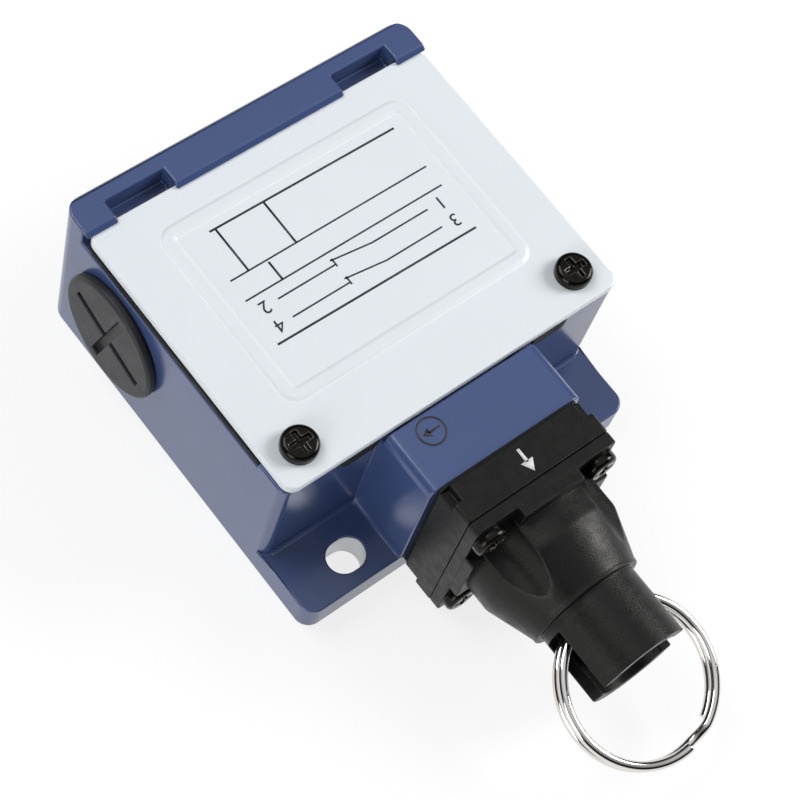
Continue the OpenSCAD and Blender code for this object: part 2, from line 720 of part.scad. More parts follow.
module spring_seat() color(steel) difference() {
    on_axis(seat_at) cylinder(d = chamber_d - 2 * loose, h = seat_t - 0.02);
    on_axis(seat_at - 1) cylinder(d = shank_d + 0.1, h = seat_t + 2);
}

module retaining_clip() color(steel) difference() {
    on_axis(clip_at) cylinder(d = shank_d + 2 * clip_wall, h = clip_t);
    on_axis(clip_at - 1) cylinder(d = shank_d - 1.1, h = clip_t + 2);
    // open side that slips over the groove
    block([-shank_d * 0.4, -clip_at - clip_t - 1, axis_z - shank_d * 2],
        [shank_d * 0.4, 1 - clip_at, axis_z]);
}

module return_spring() color(steel) on_axis(spring_at)
    coil(rod_d / 2 + 1.2, 1.1, guide_at - spring_at, 6, 20, 8);

// Split ring of two close turns: the lower turn, a crossing between the two cut ends, the upper turn
module split_ring() color(steel) translate([0, -hinge_at, axis_z]) rotate([ring_droop, 0, 0])
    translate([0, -ring_r, 0]) tube([for (i = [0:ring_steps])
        let (turned = (i / ring_steps - 0.5) * (720 - ring_gap),
            layer = min(1, max(-1, turned / (ring_gap / 2 - 4))),
            a = ring_cross_a + turned)
        hoop([ring_r * cos(a), ring_r * sin(a), turn_rise * layer], [cos(a), sin(a), 0], [0, 0, 1],
            ring_wire_d / 2, 12)]);
ring_steps = 96;
ring_gap = 44;
ring_cross_a = -62;

module contact_base() color(grey) difference() {
    union() {
        block([-block_half, block_y, pillar_top], [block_half, block_end, block_top]);
        // nose that guides the plunger
        translate([0, block_y + 1, axis_z]) rotate([90, 0, 0]) cylinder(d = plunger_d + 4, h = nose_l + 1);
    }
    // chamber for the plunger's carrier, and the plunger's bore
    block([-chamber_x, chamber_front, chamber_floor], [chamber_x, chamber_end, block_top + 1]);
    translate([0, chamber_front + 1, axis_z]) rotate([90, 0, 0])
        cylinder(d = plunger_d + 2 * run_fit, h = chamber_front - block_y + nose_l + 2);
    for (side = [-1, 1], y = pocket_y) {
        // terminal pocket, open at the top and at the side
        block([side > 0 ? chamber_x + 1.3 : -block_half - 1, y, shelf_z],
            [side > 0 ? block_half + 1 : -chamber_x - 1.3, y + pocket_l, block_top + 1]);
        translate([side * terminal_x, y + pocket_l / 2, shelf_z - terminal_screw_l + 1])
            cylinder(d = small_screw_d + 2 * fit, h = terminal_screw_l);
    }
    // slots that let the fixed contacts into the chamber
    for (side = [-1, 1], i = [0, 1])
        block([side > 0 ? chamber_x - 1 : -link_x - fit, tab_y[i] - fit, shelf_z - fit],
            [side > 0 ? link_x + fit : 1 - chamber_x,
             max(tab_y[i] + strip_t + fit, pocket_y[i] + eps), axis_z + tab_h / 2 + fit]);
    for (side = [-1, 1]) translate([side * terminal_x, bridge_screw_y, pillar_top - 1]) {
        cylinder(d = small_screw_d + loose, h = block_top);
        translate([0, 0, block_top - pillar_top + 1 - block_screw_sink])
            cylinder(d = block_screw_head_d + 2 * loose, h = block_screw_sink + 1);
    }
}

module contact_lid() color(black) difference() {
    union() {
        block([-chamber_x - 1, block_y, block_top], [chamber_x + 1, block_end, block_top + lid_t]);
        // step that sits in the chamber's mouth
        block([fit - chamber_x, chamber_front + fit, block_top - 0.6],
            [chamber_x - fit, chamber_end - fit, block_top + eps]);
    }
    for (y = [block_y + 6, block_end - 6])
        block([-5, y - 0.5, block_top + lid_t - 0.5], [5, y + 0.5, block_top + lid_t + 1]);
}

module contact_plunger() color("white") difference() {
    union() {
        translate([0, carrier_y + eps, axis_z]) rotate([90, 0, 0])
            cylinder(d = plunger_d, h = carrier_y - tip_y);
        block([-carrier_half, carrier_y, axis_z - carrier_half_h],
            [carrier_half, carrier_end, axis_z + carrier_half_h]);
    }
    block([-carrier_half - 1, window_y, axis_z - bridge_half_h - loose],
        [carrier_half + 1, window_y + window_l, axis_z + bridge_half_h + loose]);
}

module contact_spring() color(steel) translate([0, chamber_end - 0.1, axis_z]) rotate([90, 0, 0])
    coil(2.6, 0.7, chamber_end - carrier_end - 0.2, 5, 16, 6);

module bridge_spring() color(steel) translate([0, bridge_y - 0.05, axis_z]) rotate([90, 0, 0])
    coil(1.4, 0.4, spring_gap, 4, 16, 6);

module contact_bridge() color(brass_tone) {
    block([-bridge_half, bridge_y, axis_z - bridge_half_h],
        [bridge_half, bridge_y + bridge_t, axis_z + bridge_half_h]);
    for (x = [-contact_x, contact_x]) translate([x, bridge_y - contact_tip, axis_z]) rotate([-90, 0, 0])
        cylinder(d = 2.4, h = bridge_t + 2 * contact_tip);
}

// Fixed contact: a tab with a tip in the chamber, a link past the wall, and a tail on the terminal's shelf
module fixed_contact(side, i, tip_side) {
    y = tab_y[i];
    inner = contact_x - 1.3;
    tail = [pocket_y[i] + 0.4, pocket_y[i] + pocket_l - 0.4];
    block([side > 0 ? inner : -chamber_x - 1.4, y, shelf_z],
        [side > 0 ? chamber_x + 1.4 : -inner, y + strip_t, axis_z + tab_h / 2]);
    translate([side * contact_x, tip_side > 0 ? y + strip_t - eps : y + eps, axis_z])
        rotate([-90 * tip_side, 0, 0]) cylinder(d = 2.4, h = contact_tip + eps);
    block([side > 0 ? chamber_x + 1.35 : -link_x, min(tail[0], y), shelf_z],
        [side > 0 ? link_x : -chamber_x - 1.35, tail[1], shelf_z + strip_t]);
    block([side > 0 ? chamber_x + 1.35 : 0.4 - block_half, tail[0], shelf_z],
        [side > 0 ? block_half - 0.4 : -chamber_x - 1.35, tail[1], shelf_z + strip_t]);
}

module fixed_contacts() color(brass_tone) difference() {
    for (side = [-1, 1]) {
        fixed_contact(side, 0, 1);
        fixed_contact(side, 1, -1);
    }
    for (side = [-1, 1], y = pocket_y) translate([side * terminal_x, y + pocket_l / 2, shelf_z - 1])
        cylinder(d = small_screw_d + 4 * fit, h = strip_t + 2);
}

module terminal_clamps() color(steel) for (side = [-1, 1], y = pocket_y)
    translate([side * terminal_x, y + pocket_l / 2, shelf_z + strip_t]) difference() {
        translate([-terminal_d / 2, -terminal_d * 0.58, 0]) cube([terminal_d, terminal_d * 1.16, strip_t]);
        translate([0, 0, -1]) cylinder(d = small_screw_d + 4 * fit, h = strip_t + 2);
    }

module terminal_screws() color(steel) for (side = [-1, 1], y = pocket_y)
    translate([side * terminal_x, y + pocket_l / 2, shelf_z + 2 * strip_t])
        pan_screw(small_screw_d, terminal_screw_l, terminal_d, terminal_head_h);

module block_screws() color(steel) for (side = [-1, 1])
    translate([side * terminal_x, bridge_screw_y, block_top - block_screw_sink])
        pan_screw(small_screw_d, block_top - block_screw_sink - block_screw_tip, block_screw_head_d,
            terminal_head_h);

module earth_screw() color(brass_tone) translate([earth_x, earth_y, pillar_top]) {
    difference() {
        cylinder(d = earth_washer_d, h = earth_washer_t);
        translate([0, 0, -1]) cylinder(d = earth_d, h = earth_washer_t + 2);
    }
    translate([0, 0, earth_washer_t - eps]) pan_screw(earth_d, earth_screw_l, earth_head_d, earth_head_h);
}

housing();
cover();
cover_gasket();
cover_screws();
blanking_plug_left();
blanking_plug_right();
plug_seals();
head_gasket();
head_block();
bell();
head_screws();
guide_bush();
pull_rod();
rod_seal();
spring_seat();
retaining_clip();
return_spring();
split_ring();
contact_base();
contact_lid();
contact_plunger();
contact_spring();
contact_bridge();
bridge_spring();
fixed_contacts();
terminal_clamps();
terminal_screws();
block_screws();
earth_screw();
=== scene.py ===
# %% [markdown]
# # A rope pull switch
#
# The real object is a small die-cast box with a moulded operating head. A rope hooks into the split
# ring, and a pull on it moves a rod that works the contacts inside. The CAD frame holds every piece at
# its real place, so this lesson only gives the pieces their rounded edges, finishes, marks and threads.

# %% Load the frame
import json

import bmesh
import bpy
import numpy as np
from mathutils import Matrix, Vector

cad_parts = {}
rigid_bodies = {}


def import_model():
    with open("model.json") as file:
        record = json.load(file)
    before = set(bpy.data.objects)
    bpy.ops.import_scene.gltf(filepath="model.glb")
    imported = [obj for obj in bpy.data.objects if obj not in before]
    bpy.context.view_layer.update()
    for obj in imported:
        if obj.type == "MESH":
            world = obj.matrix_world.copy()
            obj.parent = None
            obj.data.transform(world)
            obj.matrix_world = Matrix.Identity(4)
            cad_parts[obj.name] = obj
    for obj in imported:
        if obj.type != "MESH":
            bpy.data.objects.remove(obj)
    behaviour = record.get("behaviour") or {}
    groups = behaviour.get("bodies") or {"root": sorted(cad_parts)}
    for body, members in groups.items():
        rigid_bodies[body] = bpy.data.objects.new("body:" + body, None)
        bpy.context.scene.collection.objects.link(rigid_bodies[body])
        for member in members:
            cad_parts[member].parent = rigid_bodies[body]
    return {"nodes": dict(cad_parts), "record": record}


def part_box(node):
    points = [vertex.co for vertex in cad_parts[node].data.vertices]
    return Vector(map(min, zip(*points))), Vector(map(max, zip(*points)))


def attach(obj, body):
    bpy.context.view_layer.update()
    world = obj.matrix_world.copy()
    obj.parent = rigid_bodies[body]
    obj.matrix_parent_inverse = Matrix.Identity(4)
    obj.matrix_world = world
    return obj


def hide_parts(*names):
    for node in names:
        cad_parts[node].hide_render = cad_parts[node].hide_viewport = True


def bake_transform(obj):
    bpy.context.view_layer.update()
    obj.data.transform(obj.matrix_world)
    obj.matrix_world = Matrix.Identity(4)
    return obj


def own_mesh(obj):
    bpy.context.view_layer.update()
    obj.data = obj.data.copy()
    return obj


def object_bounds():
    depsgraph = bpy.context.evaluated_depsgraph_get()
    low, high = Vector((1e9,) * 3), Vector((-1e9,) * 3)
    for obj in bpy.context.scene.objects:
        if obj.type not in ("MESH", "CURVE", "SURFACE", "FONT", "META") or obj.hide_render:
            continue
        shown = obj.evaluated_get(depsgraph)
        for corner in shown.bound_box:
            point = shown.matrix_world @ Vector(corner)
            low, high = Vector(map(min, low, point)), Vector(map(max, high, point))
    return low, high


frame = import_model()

MM = 0.001
cad_low, cad_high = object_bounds()
print("CAD box, mm:", np.round(np.array(cad_low) / MM, 1), np.round(np.array(cad_high) / MM, 1))

# %% What the record says of each node, joint and mount
behaviour = frame["record"]["behaviour"]
SLOT_OF = {row["node"]: row["material_slot"] for row in frame["record"]["subparts"]}
BODY_OF = {node: body for body, nodes in behaviour["bodies"].items() for node in nodes}
JOINTS = {row["name"]: row for row in behaviour["joints"]}
MOUNTS = {row["name"]: row for row in frame["record"]["mounts"]}


def box_mm(node):
    """A CAD node's lowest and highest corners, in mm."""
    return np.array(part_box(node)) / MM


print(len(SLOT_OF), "nodes,", len(JOINTS), "joints,", len(MOUNTS), "mounts")

# %% [markdown]
# ## The view
#
# The switch lies on its mounting face and is seen from above its left front corner, through a long
# lens that is turned a little, so the head points to the lower right. The camera is aimed at a point
# just behind the middle of the whole part.

# %% Camera
AIM_FROM_MIDDLE = np.array([-1.5, 10.6, -2.9])


def camera_at(aim, azimuth, elevation, roll, distance, lens):
    """A camera on a sphere round the aim point, with its angles in degrees and its distance in metres.

    Azimuth a turns it from -Y towards -X, elevation e lifts it and roll turns its frame. The way out
    to it is (-sin a cos e, -cos a cos e, sin e).
    """
    a, e, r = np.radians([azimuth, elevation, roll])
    outward = np.array([-np.sin(a) * np.cos(e), -np.cos(a) * np.cos(e), np.sin(e)])
    level = np.array([np.cos(a), -np.sin(a), 0.0])
    upright = np.cross(outward, level)
    right = level * np.cos(r) + upright * np.sin(r)
    up = np.cross(outward, right)
    place = np.eye(4)
    place[:3, 0], place[:3, 1], place[:3, 2] = right, up, outward
    place[:3, 3] = aim + outward * distance
    camera = bpy.data.objects.new("camera", bpy.data.cameras.new("camera"))
    bpy.context.scene.collection.objects.link(camera)
    camera.matrix_world = Matrix(place.tolist())
    camera.data.lens = lens
    camera.data.clip_start = 0.01
    bpy.context.scene.camera = camera
    return camera


middle = (np.array(cad_low) + np.array(cad_high)) / 2
camera = camera_at(middle + AIM_FROM_MIDDLE * MM, azimuth=58.55, elevation=61.44, roll=22.64,
                   distance=0.352, lens=105.8)
print("camera at, mm:", np.round(np.array(camera.location) / MM, 1))

# %% [markdown]
# ## Light
#
# A product like this is shown on white. The main soft box stands low on the right, so that its sheen
# runs along the bell's taper and misses the flat tops. A weaker one lights the tops from behind, and a
# third lifts the walls on the left. The world gives a weak, even fill. Shiny pieces see a studio with
# pale walls and a dark band above them, which is what draws the dark lines on a nickel ring.

# %% Lights
def soft_box(name, place, size, power):
    """A square area light that looks at the part's middle, in metres and watts."""
    lamp = bpy.data.lights.new(name, "AREA")
    lamp.shape = "SQUARE"
    lamp.size = size
    lamp.energy = power
    box = bpy.data.objects.new(name, lamp)
    box.location = Vector(place)
    box.rotation_euler = (Vector(middle) - Vector(place)).to_track_quat("-Z", "Y").to_euler()
    bpy.context.scene.collection.objects.link(box)
    print(name, "of", power, "W at", place)


soft_box("key_light", (0.76, -0.25, 0.52), size=0.45, power=7.6)
soft_box("top_light", (-0.30, 0.55, 0.80), size=0.6, power=4.4)
soft_box("side_light", (-0.85, -0.20, 0.30), size=0.5, power=3.3)

# %% World
SKY_COLOUR = (0.94, 0.96, 1.0, 1)
world = bpy.data.worlds.new("studio")
bpy.context.scene.world = world
world.use_nodes = True
background = world.node_tree.nodes["Background"]
background.inputs["Color"].default_value = SKY_COLOUR
bpy.context.scene.view_settings.view_transform = "Standard"
print("view transform:", bpy.context.scene.view_settings.view_transform)

# %% [markdown]
# ## Node helpers
#
# Finishes are shader node trees. Three small helpers keep them short: the first adds a node with its
# plain values and links, the second makes a node group whose sockets have names and defaults, and the
# third places such a group in a material.

# %% Helpers for shader nodes
def add_node(tree, kind, values=None, **settings):
    """Adds a node, sets its properties and gives its sockets plain values or links."""
    node = tree.nodes.new(kind)
    for key, value in settings.items():
        setattr(node, key, value)
    for socket, value in (values or {}).items():
        if isinstance(value, bpy.types.NodeSocket):
            tree.links.new(value, node.inputs[socket])
        else:
            node.inputs[socket].default_value = value
    return node


def node_group(name, inputs, outputs):
    """A node group with named sockets: returns its tree, its input node and its output node."""
    tree = bpy.data.node_groups.new(name, "ShaderNodeTree")
    for label, kind, default in inputs:
        socket = tree.interface.new_socket(name=label, in_out="INPUT", socket_type="NodeSocket" + kind)
        socket.default_value = default
    for label, kind in outputs:
        tree.interface.new_socket(name=label, in_out="OUTPUT", socket_type="NodeSocket" + kind)
    return tree, tree.nodes.new("NodeGroupInput"), tree.nodes.new("NodeGroupOutput")


def use_group(tree, group, values):
    """Places a node group in a material with its own values."""
    return add_node(tree, "ShaderNodeGroup", values, node_tree=group)

# %% What each kind of ray sees of the world
FILL, PALE_WALL, DARK_BAND = 0.22, 0.50, 0.01
STUDIO_BANDS = [  # height, from 0 straight down to 1 straight up, and brightness
    (0.50, PALE_WALL), (0.53, PALE_WALL), (0.57, DARK_BAND),
    (0.77, DARK_BAND), (0.84, FILL), (1.0, FILL),
]
tree = world.node_tree
ray = add_node(tree, "ShaderNodeLightPath")
direction = add_node(tree, "ShaderNodeTexCoord")
split = add_node(tree, "ShaderNodeSeparateXYZ", {0: direction.outputs["Generated"]})
height = add_node(tree, "ShaderNodeMapRange",
                  {"Value": split.outputs["Z"], "From Min": -1.0, "From Max": 1.0})
bands = add_node(tree, "ShaderNodeValToRGB", {"Fac": height.outputs[0]})
for position, grey in STUDIO_BANDS:
    stop = bands.color_ramp.elements.new(position)
    stop.color = (grey, grey, grey, 1)
bands.color_ramp.elements.remove(bands.color_ramp.elements[0])
fill_or_bands = add_node(tree, "ShaderNodeMix",
                         {"Factor": ray.outputs["Is Glossy Ray"], "A": FILL, "B": bands.outputs[0]})
seen_white = add_node(tree, "ShaderNodeMix",
                      {"Factor": ray.outputs["Is Camera Ray"], "A": fill_or_bands.outputs[0], "B": 1.0})
tree.links.new(seen_white.outputs[0], background.inputs["Strength"])
print("world bands:", len(bands.color_ramp.elements))

# %% [markdown]
# ## Shared effects
#
# Three effects appear on more than one finish. Drift is the slow change of tone that every painted or
# moulded face has. Grain is the fine height that a spark-eroded mould or a sprayed coat leaves. Rub and
# highlight is the paler line along a rounded edge: on the mouldings it is where handling has polished
# the edge, on the white cover a painted highlight where light catches the rim, and on the screws
# painted glints.

# %% Effect: drift
drift, enter, leave = node_group(
    "tone_drift",
    [("Color", "Color", (0.5, 0.5, 0.5, 1)), ("Amount", "Float", 0.1), ("Scale", "Float", 60.0)],
    [("Color", "Color"), ("Mask", "Float")],
)
coords = add_node(drift, "ShaderNodeTexCoord")
cloud = add_node(drift, "ShaderNodeTexNoise",
                 {"Vector": coords.outputs["Object"], "Scale": enter.outputs["Scale"],
                  "Detail": 4.0, "Roughness": 0.6})
centred = add_node(drift, "ShaderNodeMath", {0: cloud.outputs[0], 1: 0.5}, operation="SUBTRACT")
swing = add_node(drift, "ShaderNodeMath",
                 {0: centred.outputs[0], 1: enter.outputs["Amount"]}, operation="MULTIPLY")
level = add_node(drift, "ShaderNodeMath", {0: swing.outputs[0], 1: 1.0}, operation="ADD")
toned = add_node(drift, "ShaderNodeVectorMath",
                 {0: enter.outputs["Color"], "Scale": level.outputs[0]}, operation="SCALE")
drift.links.new(toned.outputs[0], leave.inputs["Color"])
drift.links.new(cloud.outputs[0], leave.inputs["Mask"])
print("group", drift.name, "has", len(drift.nodes), "nodes")

# %% Effect: grain
BROAD_SHARE = 0.13
grain, enter, leave = node_group(
    "surface_grain",
    [("Scale", "Float", 3000.0), ("Softness", "Float", 0.4)],
    [("Height", "Float"), ("Mask", "Float")],
)
coords = add_node(grain, "ShaderNodeTexCoord")
fine = add_node(grain, "ShaderNodeTexNoise",
                {"Vector": coords.outputs["Object"], "Scale": enter.outputs["Scale"], "Detail": 3.0})
broad_scale = add_node(grain, "ShaderNodeMath",
                       {0: enter.outputs["Scale"], 1: BROAD_SHARE}, operation="MULTIPLY")
broad = add_node(grain, "ShaderNodeTexNoise",
                 {"Vector": coords.outputs["Object"], "Scale": broad_scale.outputs[0], "Detail": 2.0})
blend = add_node(grain, "ShaderNodeMix",
                 {"Factor": enter.outputs["Softness"], "A": fine.outputs[0], "B": broad.outputs[0]})
grain.links.new(blend.outputs["Result"], leave.inputs["Height"])
grain.links.new(broad.outputs[0], leave.inputs["Mask"])
print("group", grain.name, "has", len(grain.nodes), "nodes")

# %% Effect: rub and painted edge highlight
COLOUR_A, COLOUR_B, COLOUR_OUT = 6, 7, 2  # a Mix node's colour sockets share their names with others
rub_and_highlight, enter, leave = node_group(
    "edge_rub",
    [("Color", "Color", (0.1, 0.1, 0.1, 1)), ("Worn", "Color", (0.3, 0.3, 0.3, 1)),
     ("Width", "Float", 0.0004), ("Amount", "Float", 1.0)],
    [("Color", "Color"), ("Mask", "Float")],
)
rounded = add_node(rub_and_highlight, "ShaderNodeBevel", {"Radius": enter.outputs["Width"]}, samples=4)
facing = add_node(rub_and_highlight, "ShaderNodeNewGeometry")
match = add_node(rub_and_highlight, "ShaderNodeVectorMath",
                 {0: rounded.outputs[0], 1: facing.outputs["Normal"]}, operation="DOT_PRODUCT")
coords = add_node(rub_and_highlight, "ShaderNodeTexCoord")
patchy = add_node(rub_and_highlight, "ShaderNodeTexNoise",
                  {"Vector": coords.outputs["Object"], "Scale": 900.0, "Detail": 3.0})
edge = add_node(rub_and_highlight, "ShaderNodeMapRange",
                {"Value": match.outputs["Value"], "From Min": 0.995, "From Max": 0.8,
                 "To Min": 0.0, "To Max": 1.0})
broken = add_node(rub_and_highlight, "ShaderNodeMath", {0: edge.outputs[0], 1: patchy.outputs[0]},
                  operation="MULTIPLY")
mask = add_node(rub_and_highlight, "ShaderNodeMath", {0: broken.outputs[0], 1: enter.outputs["Amount"]},
                operation="MULTIPLY", use_clamp=True)
mixed = add_node(rub_and_highlight, "ShaderNodeMix", {"Factor": mask.outputs[0]}, data_type="RGBA")
rub_and_highlight.links.new(enter.outputs["Color"], mixed.inputs[COLOUR_A])
rub_and_highlight.links.new(enter.outputs["Worn"], mixed.inputs[COLOUR_B])
rub_and_highlight.links.new(mixed.outputs[COLOUR_OUT], leave.inputs["Color"])
rub_and_highlight.links.new(mask.outputs[0], leave.inputs["Mask"])
print("group", rub_and_highlight.name, "has", len(rub_and_highlight.nodes), "nodes")

# %% [markdown]
# ## Finishes
#
# The box has a glossy blue enamel and the cover a satin white one. The head is a black moulding with a
# spark-eroded grain, its screws are oiled black steel, and the ring is nickel plated. Each finish is a
# Principled BSDF. Its constants are set on the shader's own sockets, and only what varies over the
# surface comes through links: the drifted colour with its paler edges (rubbed on the mouldings, a
# painted highlight on the cover and screws), the roughness and the grain's normal.

# %% A finish from its values
MASK_LOW, MASK_HIGH = 0.3, 0.7  # the part of the noise's range that nearly all of it lies in


def finish(name, colour, roughness, grain_scale, grain_depth, softness=0.4, tone=0.1, tone_scale=60.0,
           pale_edge=None, pale_edge_width=0.0004, pale_edge_amount=0.0, **constants):
    """A material with a drifting colour, a roughness that swings a little and a fine grain."""
    material = bpy.data.materials.new(name)
    material.use_nodes = True
    tree = material.node_tree
    shader = tree.nodes["Principled BSDF"]
    for socket, value in constants.items():
        shader.inputs[socket.replace("_", " ")].default_value = value
    toned = use_group(tree, drift, {"Color": (*colour, 1), "Amount": tone, "Scale": tone_scale})
    surface = toned.outputs["Color"]
    # paler edges: rubbed on the mouldings, a painted highlight on the white cover, painted glints on
    # the screws
    if pale_edge_amount > 0:
        paled = use_group(tree, rub_and_highlight, {"Color": surface, "Worn": (*pale_edge, 1), "Width": pale_edge_width,
                                       "Amount": pale_edge_amount})
        surface = paled.outputs["Color"]
    tree.links.new(surface, shader.inputs["Base Color"])
    texture = use_group(tree, grain, {"Scale": grain_scale, "Softness": softness})
    gloss = add_node(tree, "ShaderNodeMapRange",
                     {"Value": texture.outputs["Mask"], "From Min": MASK_LOW, "From Max": MASK_HIGH,
                      "To Min": roughness[0], "To Max": roughness[1]})
    tree.links.new(gloss.outputs[0], shader.inputs["Roughness"])
    relief = add_node(tree, "ShaderNodeBump",
                      {"Height": texture.outputs["Height"], "Strength": 1.0, "Distance": grain_depth})
    tree.links.new(relief.outputs[0], shader.inputs["Normal"])
    print("finish", name, "has", len(tree.nodes), "nodes")
    return material


# %% Paints, mouldings and rubber
blue_paint = finish("blue_paint", (0.047, 0.077, 0.193), (0.16, 0.24), 700, 6e-6,
                    softness=0.7, tone=0.12, IOR=1.6)
# the pale edge colour is a painted highlight along the cover's rounded rim
white_paint = finish("white_paint", (0.735, 0.775, 0.805), (0.30, 0.38), 900, 5e-6,
                     softness=0.7, tone=0.04, pale_edge=(0.93, 0.95, 0.97), pale_edge_amount=1.6)
black_moulding = finish("black_moulding", (0.0052, 0.0051, 0.0050), (0.29, 0.44), 4800, 6.0e-5,
                        tone=0.4, tone_scale=260.0, pale_edge=(0.035, 0.034, 0.032), pale_edge_width=0.0003,
                        pale_edge_amount=0.8, Specular_IOR_Level=0.24, Specular_Tint=(1.0, 0.98, 0.93, 1))
grey_moulding = finish("grey_moulding", (0.021, 0.021, 0.024), (0.46, 0.54), 3600, 1.6e-5,
                       tone=0.08, pale_edge=(0.06, 0.06, 0.06), pale_edge_width=0.0003, pale_edge_amount=0.8,
                       Specular_IOR_Level=0.35)
dark_rubber = finish("dark_rubber", (0.006, 0.0056, 0.0053), (0.55, 0.75), 2600, 3.0e-5,
                     tone=0.3, Specular_IOR_Level=0.25)
white_nylon = finish("white_nylon", (0.74, 0.73, 0.68), (0.35, 0.45), 2500, 6e-6, tone=0.05)
black_ink = finish("black_ink", (0.018, 0.018, 0.024), (0.45, 0.60), 2500, 3e-6, tone=0.3)
white_ink = finish("white_ink", (0.70, 0.70, 0.69), (0.45, 0.60), 2500, 3e-6, tone=0.1)

# %% Metals
# the pale edge colour is painted glints on the screw heads
oiled_steel = finish("oiled_steel", (0.016, 0.015, 0.013), (0.08, 0.26), 2500, 3.0e-5,
                     tone=0.9, tone_scale=900.0, pale_edge=(0.50, 0.46, 0.38), pale_edge_width=0.0003,
                     pale_edge_amount=1.5, Metallic=0.9)
plated_steel = finish("plated_steel", (0.50, 0.50, 0.49), (0.22, 0.34), 3000, 6e-6,
                      tone=0.15, Metallic=1.0)
spring_wire = finish("spring_wire", (0.36, 0.36, 0.35), (0.25, 0.38), 3000, 6e-6,
                     tone=0.2, Metallic=1.0)
bright_nickel = finish("bright_nickel", (0.72, 0.69, 0.66), (0.06, 0.12), 1500, 2e-6,
                       tone=0.06, Metallic=1.0)
bare_casting = finish("bare_casting", (0.62, 0.63, 0.65), (0.30, 0.45), 2200, 1.0e-5,
                      tone=0.1, Metallic=0.7)
bare_brass = finish("bare_brass", (0.62, 0.44, 0.19), (0.22, 0.36), 2800, 6e-6,
                    tone=0.15, Metallic=1.0)

# %% The finish of each slot in the record
FINISH_OF = {
    "blue_paint": blue_paint, "white_paint": white_paint, "rubber": dark_rubber,
    "dark_screw": oiled_steel, "grey_plastic": grey_moulding, "black_plastic": black_moulding,
    "brass": bare_brass, "steel": plated_steel, "spring_steel": spring_wire,
    "ring_nickel": bright_nickel, "white_plastic": white_nylon,
}
print("slots with a finish:", len(FINISH_OF))

# %% [markdown]
# ## Rounded edges
#
# A die-casting or a moulding has no knife edge. The CAD solids are exact but sharp, so most of those
# that show are copied. A copy's loose triangles are merged, its flat faces are joined, and a Bevel
# modifier rounds what is left. The copy stands for the CAD node, which stays in place for collisions.

# %% Helpers for pieces
def add_piece(name, mesh, material, slot, body, replaced=()):
    """Puts a finished mesh in the scene as a piece that rides on a body and stands for CAD nodes.

    A piece that follows two bodies is given None here, and rides on no body.
    """
    mesh.materials.clear()
    mesh.materials.append(material)
    piece = bpy.data.objects.new(name, mesh)
    bpy.context.scene.collection.objects.link(piece)
    if body:
        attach(piece, body)
    if replaced:
        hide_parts(*replaced)
    return piece


def keep_flat(piece):
    """Lets a piece's large faces set the normals, so flat faces stay flat between rounded edges."""
    weigh = piece.modifiers.new("flat_faces", "WEIGHTED_NORMAL")
    weigh.mode = "FACE_AREA_WITH_ANGLE"
    weigh.weight = 90

# %% Copies with rounded edges
SHARP, FLAT = np.radians([32.0, 0.3])
MERGE_WITHIN = 2e-6
SHARE_OF_FACE = 0.4


def merged_copy(node, top=None):
    """A CAD node's mesh as a bmesh, with its loose triangles merged and its flat faces joined.

    Whatever stands higher than `top` comes down to it, and is made again as a piece of its own.
    """
    loose = frame["nodes"][node].data.copy()
    if top is not None:
        points = np.empty(len(loose.vertices) * 3)
        loose.vertices.foreach_get("co", points)
        points[2::3] = np.minimum(points[2::3], top)
        loose.vertices.foreach_set("co", points)
    shape = bmesh.new()
    shape.from_mesh(loose)
    bpy.data.meshes.remove(loose)
    bmesh.ops.remove_doubles(shape, verts=shape.verts, dist=MERGE_WITHIN)
    bmesh.ops.dissolve_limit(shape, angle_limit=FLAT, verts=shape.verts, edges=shape.edges)
    return shape


def rounded_copy(node, width, top=None):
    """A merged copy of a CAD node whose sharp edges are rounded.

    An edge's round is the width, or SHARE_OF_FACE of a four-sided face beside it where that is less:
    a face of area A along an edge of length l is A / l wide, and the rounds on its two sides mustn't
    meet.
    """
    shape = merged_copy(node, top)
    share = shape.edges.layers.float.new("bevel_weight_edge")
    for edge in shape.edges:
        if edge.is_manifold and edge.calc_face_angle() > SHARP:
            areas = [face.calc_area() for face in edge.link_faces if len(face.verts) == 4]
            room = min(areas, default=1.0) / edge.calc_length()
            edge[share] = min(1.0, SHARE_OF_FACE * room / width)
    mesh = bpy.data.meshes.new(node + "_rounded")
    shape.to_mesh(mesh)
    shape.free()
    mesh.shade_smooth()
    slot = SLOT_OF[node]
    piece = add_piece(node + "_rounded", mesh, FINISH_OF[slot], slot, BODY_OF[node], [node])
    bevel = piece.modifiers.new("edges", "BEVEL")
    bevel.width = width
    bevel.segments = 3
    bevel.limit_method = "WEIGHT"
    bevel.use_clamp_overlap = False
    bevel.loop_slide = False
    keep_flat(piece)
    return piece


# %% The rounded pieces, and the finish of every other node
EDGES_MM = {
    "housing": 0.3, "cover": 0.3, "head_block": 0.2,
    "blanking_plug_left": 0.2, "blanking_plug_right": 0.2,
    "cover_screws": 0.12, "head_screws": 0.12, "pull_rod": 0.15,
    "head_gasket": 0.1, "cover_gasket": 0.15,
}
RIDGE = 0.3
cover_face = box_mm("cover")[1][2] - RIDGE
pieces = {
    node: rounded_copy(node, width * MM, cover_face * MM if node == "cover" else None)
    for node, width in EDGES_MM.items()
}
for node, cad_piece in frame["nodes"].items():
    if node not in EDGES_MM:
        cad_piece.data.materials.clear()
        cad_piece.data.materials.append(FINISH_OF[SLOT_OF[node]])
print("rounded:", len(pieces), "of", len(frame["nodes"]), "nodes")

# %% [markdown]
# ## Bare metal
#
# The two fixing slots are cut after the box is painted, so their walls show the bare casting. The box
# is one mesh, so a second material goes to the faces of the slots alone, which are picked by their
# place and by a normal that is nearly level.

